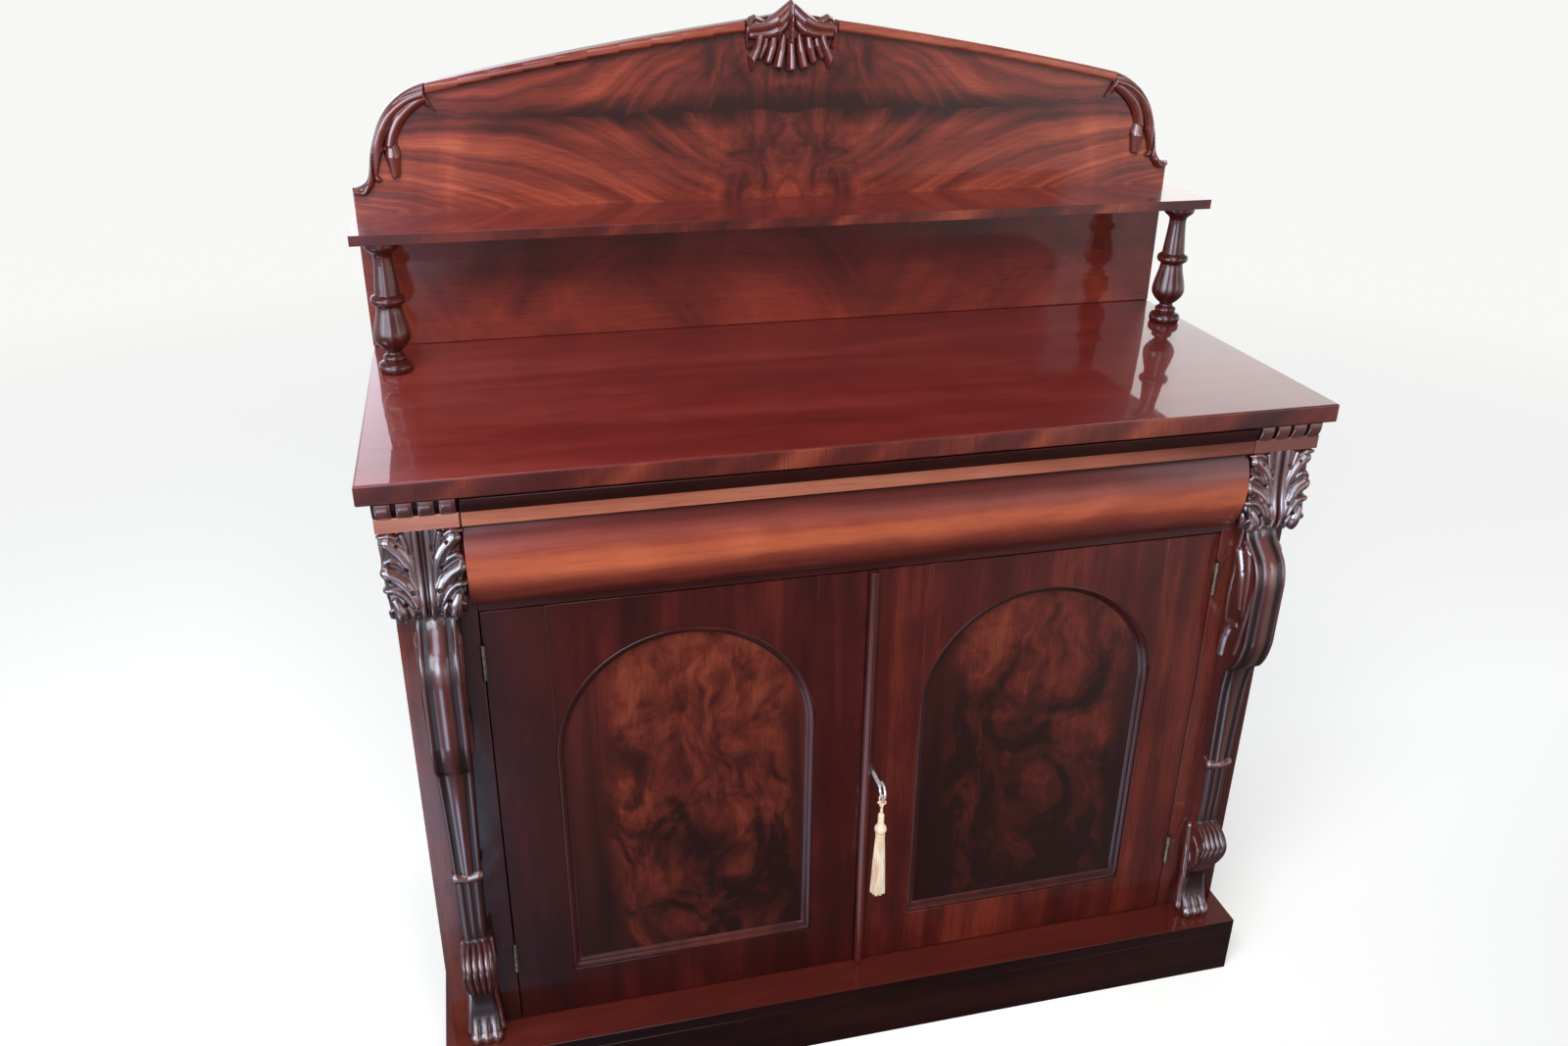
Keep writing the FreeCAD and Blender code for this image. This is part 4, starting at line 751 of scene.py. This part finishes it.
def wrapped(node, slots, relief, row_step, corner, half=None, outer_wall=FACE, column_step=0.8,
            pick=None, soften=0.0, lit_sides=None, room=0.0):
    """Carving wrapped round the front and sides of a block whose front line is the CAD piece's.
    relief(across, height, back) gives the carving's height: across runs outwards from the
    block's middle round its corners, back is the distance behind the front. lit_sides lifts
    the tone of the sides, as (from, to, how much) in distances behind the front. room is kept
    between the block's foremost point and the carving's foot, for ribs that stand there."""
    low, high = corners(node)
    middle = (low.x + high.x) / 2
    sign = 1 if middle > 0 else -1
    heights = np.arange(low.z, high.z + row_step / 2, row_step)
    stretch = (high.z - low.z) / (heights[-1] - low.z)
    heights = heights * stretch + low.z * (1 - stretch)
    fronts = front_line(node, heights, FACE)
    fronts = np.maximum(fronts, fronts.min() + room)
    if soften:
        spread = int(soften / row_step)
        padded = np.pad(fronts, spread, mode="edge")
        fronts = np.convolve(padded, np.full(2 * spread + 1, 1 / (2 * spread + 1)), "valid")
    halves = half(heights) if half else np.full(heights.shape, half_width(node))
    counts = (int((high.x - low.x) / column_step), int(max(FACE - fronts.min(), 8) / column_step),
              max(int(corner * 1.6 / column_step), 3))
    grid, across, back = [], [], []
    for z, front, wide in zip(heights, fronts, halves):
        x, y, s = round_block(front, wide, corner, (FACE, outer_wall), counts)
        grid.append(np.stack([middle + sign * x, y, np.full(x.shape, z)], 1))
        across.append(s)
        back.append(y - front)
    grid, across, back = np.array(grid), np.array(across), np.array(back)
    height = relief(across, grid[..., 2] - low.z, back)
    normal = np.cross(np.gradient(grid, axis=1), np.gradient(grid, axis=0)) * sign
    normal /= np.maximum(np.linalg.norm(normal, axis=2, keepdims=True), 1e-9)
    grid = grid + normal * height[..., None]
    grid[..., 1] = np.minimum(grid[..., 1], max(FACE, outer_wall))
    # the sides' stored relief is raised, so the carving material's painted hollow shade lightens there
    if lit_sides:
        start, end, more = lit_sides
        height = height + more * step_between(back, start, end)
    mesh = mesh_of(f"{node}_look", grid, tube(*grid.shape[:2]))
    note_relief(mesh, height)
    face_outwards(mesh)
    smooth(mesh, 50)
    dressed(f"{node}_look", mesh, node, *slots)
    for polygon in mesh.polygons:
        polygon.material_index = pick(polygon) if pick else 0


def outline_of(node):
    """Edges round the front face of a flat CAD piece, as pairs of (x, z) spots."""
    form = bmesh.new()
    form.from_mesh(NODES[node].data)
    bmesh.ops.remove_doubles(form, verts=form.verts, dist=1e-5)
    front = min(vertex.co.y for vertex in form.verts)
    faces = {face for face in form.faces if all(vertex.co.y < front + 1e-4 for vertex in face.verts)}
    lines = [[(vertex.co.x * 1000, vertex.co.z * 1000) for vertex in edge.verts]
             for edge in form.edges if sum(face in faces for face in edge.link_faces) == 1]
    form.free()
    return lines


def inside_by(lines, x, z):
    """Distance to an outline: positive inside it, negative outside."""
    nearest = np.full(x.shape, 1e9)
    enclosed = np.zeros(x.shape, bool)
    for start, end in lines:
        nearest = np.minimum(nearest, off_line(x, z, start, end)[0])
        (ax, az), (bx, bz) = start, end
        if abs(bz - az) > 1e-9:
            enclosed ^= ((az > z) != (bz > z)) & (x < (bx - ax) * (z - az) / (bz - az) + ax)
    return np.where(enclosed, nearest, -nearest)


def applied(node, slot, relief, inside, step=0.7):
    """Flat carving on the backboard: relief(x, z, distance inside the outline) is its height,
    and inside(x, z, distance inside the CAD outline) trims the outline to what is carved."""
    low, high = corners(node)
    x, z = np.meshgrid(np.arange(low.x - 2 * step, high.x + 2 * step, step),
        np.arange(low.z - 2 * step, high.z + 2 * step, step))
    depth = inside(x, z, inside_by(outline_of(node), x, z))
    slope_z, slope_x = np.gradient(depth, step)
    length = np.maximum(slope_x ** 2 + slope_z ** 2, 0.05)
    outside = depth < 0
    x = np.where(outside, x - depth * slope_x / length, x)
    z = np.where(outside, z - depth * slope_z / length, z)
    height = np.where(outside, 0.0, relief(x, z, np.maximum(depth, 0)))
    height = np.maximum(height, 0.4)
    kept = depth > 0
    cells = kept[:-1, :-1] | kept[1:, :-1] | kept[:-1, 1:] | kept[1:, 1:]
    front = np.stack([x, BOARD - height, z], 2)
    rear = np.stack([x, np.full(x.shape, BOARD), z], 2)
    spots = np.arange(x.size).reshape(x.shape)
    ring = np.stack([spots[:-1, :-1], spots[:-1, 1:], spots[1:, 1:], spots[1:, :-1]], 2)
    faces = ring[cells].tolist() + (ring[cells][:, ::-1] + x.size).tolist()
    around = np.pad(cells, 1)
    beyond = (around[:-2, 1:-1], around[1:-1, 2:], around[2:, 1:-1], around[1:-1, :-2])
    for side, neighbour in enumerate(beyond):
        start, end = ring[cells & ~neighbour][:, [side, (side + 1) % 4]].T
        faces += np.stack([end, start, start + x.size, end + x.size], 1).tolist()
    mesh = mesh_of(f"{node}_look", np.stack([front, rear]), faces)
    note_relief(mesh, np.concatenate([height.ravel(), height.ravel()]))
    with edited(mesh) as form:
        loose = [vertex for vertex in form.verts if not vertex.link_faces]
        bmesh.ops.delete(form, geom=loose, context="VERTS")
        bmesh.ops.remove_doubles(form, verts=form.verts, dist=2e-5)
        bmesh.ops.recalc_face_normals(form, faces=form.faces)
    smooth(mesh, 60)
    dressed(f"{node}_look", mesh, node, slot)


def lathe(name, node, slot, x, y, profile, turns, relief=None):
    """A turned piece; the profile lists (radius, height) and relief(angle, height) adds to it."""
    angles = np.linspace(0, 2 * math.pi, turns, endpoint=False)
    radius = np.array([spot[0] for spot in profile])[:, None] + np.zeros(turns)
    height = np.array([spot[1] for spot in profile])[:, None] + np.zeros(turns)
    if relief:
        radius = radius + relief(angles[None, :] + np.zeros(radius.shape), height)
    spots = np.stack([x + radius * np.cos(angles), y + radius * np.sin(angles), height], 2)
    mesh = mesh_of(name, spots, tube(len(profile), turns))
    smooth(mesh, 35)
    return dressed(name, mesh, node, slot)


# ---- carved front pieces


def acanthus(across, up, back):
    """Capital: a leaf with two stem ribs, curling leaflets on each side and drilled eyes."""
    side = np.abs(across)
    height = 1.4 * np.cos(np.clip(side / half_width("capital_right"), 0, 1) * math.pi / 2)
    leaflets = (
        (((10, 36), (13, 58), (21, 76), (33, 89)), 8.4, 7.0, (0.45, 0.95, 1.0)),
        (((24, 94), (31, 98), (39, 97)), 4.6, 9.0, (0.7, 1.0, 0.8)),
        (((13, 66), (15.5, 82), (19, 97)), 3.4, 6.6, (0.4, 0.9, 1.0)),
        (((10, 18), (15, 35), (25, 48), (38, 56)), 8.8, 7.6, (0.4, 1.0, 0.95)),
        (((19, 58), (26, 67), (35, 70), (40, 62)), 3.6, 5.2, (0.5, 1.0, 0.9)),
        (((15, 18), (22, 30), (31, 37), (43, 37)), 4.6, 6.0, (0.45, 0.9, 1.0)),
        (((28, 0), (28, 13), (32, 26)), 7.4, 6.4, (1.0, 1.0, 0.6)),
        (((36, 17), (40, 11), (42, 0)), 3.6, 5.4, (0.7, 1.0, 1.0)),
        (((17, 0), (16, 9), (20, 18)), 3.4, 4.2, (1.0, 1.0, 0.5)),
        (((46, 28), (52, 50), (60, 66), (71, 75)), 7.5, 5.0, (0.6, 1.0, 0.8)),
        (((46, 64), (53, 82), (67, 96)), 6.4, 5.4, (0.6, 1.0, 1.0)),
        (((45, 1), (52, 15), (64, 26), (75, 28)), 6.4, 4.2, (0.8, 1.0, 0.8)),
    )
    height = ridges(side, up, leaflets, 0.8, height)
    stem = ridge(side, up, ((6.2, 103), (5.8, 62), (5.0, 34), (4.2, -2)), 3.9, 6.6, (1, 1, 0.9), 0.65)
    height = np.maximum(height, stem)
    height = height - ridge(side, up, ((0.0, 104), (0.0, 50), (0.0, -2)), 2.8, 2.0, (1, 1, 1))
    for spot, size in (((13.5, 33), 2.6), ((22, 21), 2.4), ((12, 7), 2.6), ((17.5, 58), 2.4),
            ((25, 86), 2.0), ((35, 48), 1.8)):
        height = height - bead(side, up, spot, size, 5.0)
    return height - 1.2


def capital_half(heights):
    down = corners("capital_right")[0].z - heights
    return (half_width("capital_right") - 1.0 - 3.0 * step_between(down, -34, -2)
            - 0.8 * step_between(down, -60, -34))


def corbel_half(heights):
    return half_width("corbel_right") * np.interp(
        heights, (89, 110, 150, 170, 205, 240, 250, 345, 508, 513, 707),
        (0.92, 0.86, 0.66, 0.72, 0.86, 0.78, 0.66, 0.74, 0.97, 1.0, 1.0))


CORBEL_LEAVES = (  # on the flank: path as (distance before the face, height), width, height, swell
    (((8, 668), (16, 652), (25, 628), (32, 600)), 8.0, 4.6, (1.0, 0.9, 0.45)),
    (((24, 690), (29, 668), (36, 636), (42, 592)), 6.5, 3.4, (1.0, 0.9, 0.4)),
    (((32, 574), (18, 568), (9, 548), (7, 522)), 8.0, 4.6, (0.5, 1.0, 0.9)),
    (((8, 700), (5, 660), (6, 600), (10, 560)), 4.0, 2.2, (0.8, 1.0, 0.6)),
    (((52, 684), (53, 640), (47, 590), (36, 536)), 4.4, 2.0, (0.8, 1.0, 0.6)),
    (((5, 236), (9, 205), (7, 170), (9, 130), (16, 100)), 6.0, 5.0, (0.7, 1.0, 0.9)),
    (((20, 226), (34, 214), (33, 190), (20, 182), (17, 198)), 4.0, 2.6, (0.6, 1.0, 0.7)),
)


def corbel_relief(across, up, back):
    """Console: beads down the belly, a tapering shank with a collar, a ribbed scroll and toe."""
    z = up + corners("corbel_right")[0].z
    side = np.abs(across)
    wide = corbel_half(z)
    share = side / wide
    belly = step_between(z, 508, 514)
    shank = (1 - belly) * step_between(z, 246, 252)
    scroll = (1 - step_between(z, 244, 250)) * step_between(z, 160, 170)
    toe = 1 - step_between(z, 112, 124)

    def rib(centre, half, rise, power=0.7):
        return rise * np.clip(1 - ((share - centre) / half) ** 2, 0, 1) ** power

    height = belly * np.maximum(rib(0.88, 0.17, 4.2, 0.6), rib(0.0, 0.6, 5.0)) - 2.4 * belly
    taper = np.interp(z, (345, 508), (0.5, 0.6))
    centre = 4.0 * np.clip(1 - (share / taper) ** 2, 0, 1) ** 0.7
    low_ribs = np.maximum(rib(0.62, 0.24, 2.4), rib(0.0, 0.26, 2.4))
    above_collar = step_between(z, 344, 350)
    height += shank * (np.maximum(centre, rib(0.86, 0.18, 2.8)) * above_collar
        + low_ribs * (1 - above_collar)) - 1.4 * shank
    collar = np.clip(1 - ((z - 347 - 3.0 * share) / 6.0) ** 2, 0, 1) ** 0.6
    height = np.maximum(height, 4.6 * collar * (share < 1.6))
    fluted = np.maximum(np.maximum(rib(0.22, 0.2, 2.6), rib(0.66, 0.2, 2.4)), rib(1.08, 0.2, 2.2))
    height += scroll * fluted
    height += toe * np.maximum(rib(0.0, 0.3, 2.2), rib(0.64, 0.26, 2.4))
    height += toe * 2.4 * np.clip(1 - ((z - 99) / 9) ** 2, 0, 1)
    forward = FACE - (front_of("corbel_right", z) + back)
    flank = step_between(side, wide - 1.0, wide + 2.5)
    leaf = ridges(forward, z, CORBEL_LEAVES, 0.75, np.zeros(across.shape))
    for spot in ((17, 686), (20, 673), (24, 661), (27, 650)):
        leaf = np.maximum(leaf, bead(forward, z, spot, 2.6, 2.6))
    return height * (1 - 0.55 * flank) + leaf * flank


def front_of(node, heights):
    levels = np.linspace(*[corner.z for corner in corners(node)], 400)
    return np.interp(heights, levels, front_line(node, levels, FACE))


NULLS = 4  # lobes on each cornice block
NULL_GAP = 0.22  # share of each lobe's pitch that is cut away


def nulled(across, up, back):
    """Cornice over the capital: a plain fillet with a bead above it, cut into plump lobes."""
    wide = half_width("cornice_right")
    bead_foot = CORNICE_FOOT - corners("cornice_right")[0].z
    on_bead = step_between(up, bead_foot - 0.4, bead_foot + 0.8)
    part = np.mod((across + wide) / (2 * wide) * NULLS, 1.0)
    from_middle = np.abs(part - 0.5) * 2
    plump = np.clip(1 - (from_middle / (1 - NULL_GAP)) ** 6, 0, 1) ** 0.4
    return on_bead * (0.6 - 2.6 * (1 - plump))


CREST_WINGS = (
    (((0, 1283), (10, 1269), (28, 1258), (62, 1253)), 14.0, 15.0, (0.6, 1.0, 0.75)),
    (((3, 1268), (12, 1255), (27, 1247), (52, 1245)), 8.5, 14.5, (0.6, 1.0, 0.75)),
    (((42, 1262), (50, 1267), (57, 1258)), 6.0, 16.5, (0.8, 1.0, 0.8)),
    (((58, 1252), (61, 1242), (56, 1230)), 5.5, 13.0, (0.9, 1.0, 0.5)),
)
CREST_FAN = (
    (((40, 1246), (46, 1228), (56, 1206)), 7.4, 17.0, (0.7, 0.9, 1.0)),
    (((22, 1246), (25, 1230), (30, 1214)), 6.6, 12.5, (0.7, 1.0, 0.9)),
    (((10, 1244), (13, 1226), (17, 1208)), 7.0, 15.0, (0.6, 0.9, 1.0)),
    (((0, 1244), (0, 1222), (0, 1205)), 7.0, 16.5, (0.6, 0.9, 1.0)),
    (((32, 1246), (35, 1232), (41, 1218)), 5.2, 11.5, (0.7, 1.0, 0.8)),
)
CREST_RIB = (((0, 1286), (0, 1262), (0, 1237)), 4.4, 18.0, (0.8, 1.0, 0.8))


def null_slots(node):
    """Picks the fillet, the lobes above it and the gaps between them, which take near-black wood as
    painted shade.
    """
    low, high = corners(node)

    def pick(polygon):
        if polygon.center.z * 1000 < CORNICE_FOOT:
            return 0
        part = (polygon.center.x * 1000 - low.x) / (high.x - low.x) * NULLS % 1.0
        in_front = polygon.center.y * 1000 < FACE
        return 2 if in_front and abs(part - 0.5) * 2 > 1 - NULL_GAP else 1
    return pick


def shell(x, z, depth):
    """Crest: a central rib, two broad swept wings and a fan of plump flutes below them."""
    side = np.abs(x)
    height = ridges(side, z, CREST_WINGS + CREST_FAN, 0.55, np.full(x.shape, 4.0))
    height = ridges(side, z, (CREST_RIB,), 0.5, height)
    return np.minimum(height, 3.0 + 3.2 * depth)


def shell_inside(x, z, depth):
    plate = np.minimum(z - 1240, 1256 - z)
    drawn = within(np.abs(x), z, CREST_WINGS + CREST_FAN + (CREST_RIB,))
    return np.minimum(depth, np.maximum(drawn, np.minimum(plate, 56 - np.abs(x))))


SHOULDER_RIBS = (
    (((112, 1188), (70, 1180), (40, 1156), (22, 1122), (19, 1092), (19, 1078), (12, 1070)),
     11.0, 11.0, (0.8, 1.0, 0.75)),
    (((108, 1184), (76, 1174), (52, 1155), (38, 1128), (34, 1100), (33, 1082)),
     9.0, 13.0, (0.8, 1.0, 0.6)),
    (((112, 1182), (88, 1172), (68, 1156), (57, 1138), (52, 1122)), 8.5, 12.0, (0.7, 1.0, 0.85)),
    (((53, 1128), (54, 1108), (54, 1084)), 10.5, 12.0, (0.6, 1.0, 0.62)),
    (((53, 1118), (54, 1108), (54, 1094)), 2.6, 13.5, (0.5, 1.0, 0.6)),
    (((41, 1116), (40, 1100), (40, 1086)), 4.0, 10.0, (0.7, 1.0, 0.6)),
    (((9, 1084), (3.5, 1077), (6, 1068), (14, 1066), (20, 1074)), 5.0, 12.0, (0.9, 1.0, 1.0)),
    (((12, 1076), (12.5, 1075), (13, 1074)), 4.6, 11.5, (1.0, 1.0, 1.0)),
    (((112, 1180), (104, 1171), (105, 1160)), 5.6, 11.0, (0.8, 1.0, 1.0)),
)


def shoulder_relief(x, z, depth):
    """Leaf down the shoulder: swept overlapping ribs, a hanging pod and a curl at its foot."""
    height = ridges(OUTER_BOARD - np.abs(x), z, SHOULDER_RIBS, 0.6, np.full(x.shape, 3.0))
    return np.minimum(height, 2.0 + 3.0 * depth)


def shoulder_inside(x, z, depth):
    return np.minimum(depth, within(OUTER_BOARD - np.abs(x), z, SHOULDER_RIBS))



# Section of the panel moulding: inset from the opening's edge, and y.
BEAD_SECTION = ((0.4, -191.2), (0.4, -198.9), (0.9, -199.2), (1.8, -199.3), (2.9, -199.2),
                (4.1, -198.8), (5.2, -198.0), (6.1, -196.9), (6.8, -195.5), (7.3, -194.1),
                (8.0, -192.9), (9.2, -192.0), (10.8, -191.5), (10.9, -191.2))
OPENING_NEAR, OPENING_FAR = 68.0, 381.0  # panel opening's edges from the middle
OPENING_FOOT, OPENING_HEAD = 158.0, 644.0


def panel_bead(hand, sign):
    """Quarter-round moulding that runs round the arched opening, mitred at its two feet."""
    middle, radius = (OPENING_NEAR + OPENING_FAR) / 2, (OPENING_FAR - OPENING_NEAR) / 2
    spring = OPENING_HEAD - radius
    rings = []
    for inset, y in BEAD_SECTION:
        half, low = radius - inset, OPENING_FOOT + inset
        up = np.linspace(low, spring, 24)
        along = np.linspace(-half, half, 24)
        turn = np.linspace(0, math.pi, 97)[1:-1]
        x = np.concatenate([np.full(23, -half), along[:-1], np.full(24, half), half * np.cos(turn)])
        z = np.concatenate([up[::-1][:-1], np.full(23, low), up, spring + half * np.sin(turn)])
        rings.append(np.stack([sign * (middle + x), np.full(x.shape, y), z], 1))
    rings = np.array(rings)
    mesh = mesh_of(f"{hand}_moulding_look", rings, tube(*rings.shape[:2], ring=True))
    face_outwards(mesh)
    smooth(mesh, 38)
    dressed(f"{hand}_moulding_look", mesh, f"{hand}_moulding", "moulding")


def turned_profile(node, x, y):
    """Radius of a turned CAD piece at each of its heights."""
    radii = {}
    for vertex in NODES[node].data.vertices:
        spot = vertex.co * 1000
        level = round(spot.z, 1)
        radii[level] = max(radii.get(level, 0), math.hypot(spot.x - x, spot.y - y))
    levels = sorted(radii)
    heights = np.linspace(levels[0], levels[-1], 260)
    return list(zip(np.interp(heights, levels, [radii[level] for level in levels]), heights))


# ---- the pieces in their places

eased("top_board", "band", "top", pick=facing("z"), width=0.5)
eased("gallery_shelf", "band", "top", pick=facing("z"))
eased("backboard", "flame", "raw_x", pick=facing("y", 1), width=1.2)
# base board: lighter wood on its top as painted light, near-black on its edges as painted shade
eased("base_board", "plinth", "base_top", pick=facing("z"))
# drawer cornice: the bead above CORNICE_FOOT near black as painted shade, the fillet below pale as
# painted light
eased("drawer_cornice", "pale_x", "dark_bead", pick=above(CORNICE_FOOT), width=0.6)
for slot, width, nodes in (
        ("plinth", 0.4, ("plinth_front", "plinth_sides")),
        ("cushion", 0.6, ("drawer_front",)),
        ("dark_x", 0.7, ("drawer_divider",)),
        ("dark_z", 0.7, ("astragal",)),
        ("side", 0.7, ("side_left", "side_right")),
        ("rake", 0.7, ("pediment_moulding_left", "pediment_moulding_right")),
        ("raw_x", 0.5, ("plinth_back", "inner_shelf", "drawer_back", "drawer_bottom")),
        ("raw_y", 0.5, ("drawer_runners", "shelf_bearers", "drawer_side_left", "drawer_side_right")),
        ("raw_z", 0.5, ("plinth_blocks", "back_boards")),
        ("brass", 0.5, ("hinge_plates", "left_hinge_leaves", "right_hinge_leaves", "bolt_plates",
            "door_bolt_top", "door_bolt_bottom")),
        ("steel", 0.5, ("lock_case", "lock_bolt")),
        ("key_steel", 0.5, ("key",))):
    for node in nodes:
        eased(node, slot, width=width)

for hand, sign in zip(HANDS, (-1, 1)):
    eased(f"stile_{hand}", f"stile_{hand}")
    for part in ("hinge_stile", "meeting_stile", "top_rail", "bottom_rail"):
        eased(f"{hand}_{part}", f"frame_{hand}", width=0.3)
    eased(f"{hand}_panel", f"panel_{hand}")
    panel_bead(hand, sign)
    wrapped(f"capital_{hand}", ["capital"], acanthus, 0.8, 4.0, capital_half,
            outer_wall=corners(f"capital_{hand}")[1].y, lit_sides=(32, 40, 2.8))
    wrapped(f"corbel_{hand}", ["carving"], corbel_relief, 1.3, 3.5, corbel_half, column_step=0.9,
            soften=5.0, lit_sides=(2, 6, 2.2), room=2.6)
    wrapped(f"cornice_{hand}", ["pale_cap", "carving", "gap"], nulled, 0.5, 1.5, column_step=0.5,
            pick=null_slots(f"cornice_{hand}"))
    applied(f"shoulder_leaf_{hand}", "leaf", shoulder_relief, shoulder_inside)
    middle = sum(corners(f"column_{hand}"), Vector()) / 2
    lathe(f"column_{hand}_look", f"column_{hand}", "dark_z", middle.x, middle.y,
          turned_profile(f"column_{hand}", middle.x, middle.y), 96)
applied("crest", "leaf", shell, shell_inside)

# ---- the key's tassel

CORD_ROUTE = ((8.4, 351.0, 0.0), (8.4, 366.0, 0.0), (9.0, 369.0, -1.0), (11.2, 372.0, -0.6),
              (10.6, 375.0, 1.0), (8.8, 378.0, 0.8), (8.4, 384.0, 0.0), (6.7, 389.0, 0.0),
              (6.7, 395.0, 0.0), (13.3, 395.0, 0.0), (13.3, 389.0, 0.0), (11.6, 384.0, 0.0),
              (11.2, 378.0, -0.8), (9.4, 375.0, -1.0), (8.8, 372.0, 0.6), (11.0, 369.0, 1.0),
              (11.6, 366.0, 0.0), (11.6, 351.0, 0.0))  # x, z and distance behind the tassel's middle
CORD_THICK = 2.0
low, high = corners("tassel")
hang_x, hang_y, head_top, skirt_foot = (low.x + high.x) / 2, (low.y + high.y) / 2, high.z, low.z


def tassel_cord():
    data = bpy.data.curves.new("cord", "CURVE")
    data.dimensions = "3D"
    line = data.splines.new("NURBS")
    line.points.add(len(CORD_ROUTE) - 1)
    for point, (x, z, y) in zip(line.points, CORD_ROUTE):
        point.co = (x / 1000, (hang_y + y) / 1000, z / 1000, 1)
    line.order_u = 3
    line.use_endpoint_u = True
    line.resolution_u = 24
    data.bevel_depth = CORD_THICK / 2000
    data.bevel_resolution = 4
    return dressed("tassel_cord_look", data, "tassel_cord", "silk")


def tassel_head():
    """Bound neck of the cord, round head and the band that ties the skirt."""
    profile = [(0.3, head_top + 17), (2.6, head_top + 16.5), (3.5, head_top + 15)]
    profile += [(3.7 + 0.35 * math.sin(step * 1.9), head_top + 14 - step * 0.55)
                for step in range(24)]
    profile += [(4.4, head_top + 0.2)]
    middle, size = head_top - 8.0, 7.5
    for step in range(1, 17):
        lean = math.radians(-58 + step * 116 / 17)
        profile.append((size * math.cos(lean), middle - size * math.sin(lean) * 1.02))
    profile += [(4.8, middle - 7.2), (6.0, middle - 8.0), (6.2, middle - 9.4), (4.9, middle - 10.4),
                (5.2, middle - 12), (4.0, middle - 16), (0.3, middle - 16.2)]

    def threads(angle, height):
        on_head = step_between(height, middle - 7, middle - 5) * (
            1 - step_between(height, head_top - 1.5, head_top))
        return (0.42 * np.abs(np.sin(angle * 13 + (height - middle) * 0.05)) - 0.2) * on_head

    return lathe("tassel_head", "tassel", "silk", hang_x, hang_y, profile[::-1], 120, threads)


def tassel_knot():
    """The overhand knot that holds the cord under the key's bow."""
    turns, sides, thick = 120, 10, 1.25
    turn = np.linspace(0, 2 * math.pi, turns, endpoint=False)
    line = np.stack([10.0 + 1.65 * (np.sin(turn) + 2 * np.sin(2 * turn)),
        hang_y - 1.3 * np.sin(3 * turn),
        383.2 + 1.45 * (np.cos(turn) - 2 * np.cos(2 * turn))], 1)
    run = np.roll(line, -1, 0) - np.roll(line, 1, 0)
    run /= np.linalg.norm(run, axis=1, keepdims=True)
    first = np.cross(run, (0, 1, 0))
    first /= np.maximum(np.linalg.norm(first, axis=1, keepdims=True), 1e-6)
    second = np.cross(run, first)
    round_it = np.linspace(0, 2 * math.pi, sides, endpoint=False)[None, :, None]
    spots = line[:, None] + thick * (np.cos(round_it) * first[:, None]
        + np.sin(round_it) * second[:, None])
    mesh = mesh_of("cord_knot", spots, tube(turns, sides, ring=True))
    smooth(mesh, 70)
    dressed("cord_knot", mesh, "tassel", "silk")


def tassel_skirt():
    """Loose threads that hang from under the head, in three layers round a soft core."""
    chance = np.random.default_rng(7)
    top = head_top - 17.5
    spots, faces = [], []
    sides, steps = 5, 16
    thread_faces = tube(steps + 1, sides)
    for layer, (count, neck, foot) in enumerate(((54, 4.9, 9.0), (44, 3.9, 7.3), (34, 2.6, 5.0))):
        for thread in range(count):
            angle = 2 * math.pi * (thread + 0.3 * chance.random()) / count + layer
            reach = foot * (0.93 + 0.1 * chance.random())
            drop = top - skirt_foot - 2.6 * chance.random()
            sway, phase = 0.35 * chance.normal(), 6 * chance.random()
            thick = 0.62 + 0.12 * chance.random()
            faces += [tuple(len(spots) + number for number in face) for face in thread_faces]
            for part in np.linspace(0, 1, steps + 1):
                out = neck + (reach - neck) * (part ** 0.75)
                swing = angle + 0.1 * math.sin(part * 5 + phase) + 0.05 * sway
                x = hang_x + out * math.cos(swing) + sway * part ** 2
                y = hang_y + out * math.sin(swing)
                size = thick * (0.9 + 0.1 * math.sin(part * 9 + phase))
                for side in range(sides):
                    turn = 2 * math.pi * side / sides + part * 4
                    spots.append((x + size * math.cos(turn), y + size * math.sin(turn),
                                  top - drop * part))
    mesh = mesh_of("tassel_skirt", spots, faces)
    face_outwards(mesh)
    smooth(mesh, 70)
    dressed("tassel_skirt", mesh, "tassel", "silk")


cord, head = tassel_cord(), tassel_head()
tassel_skirt()
tassel_knot()
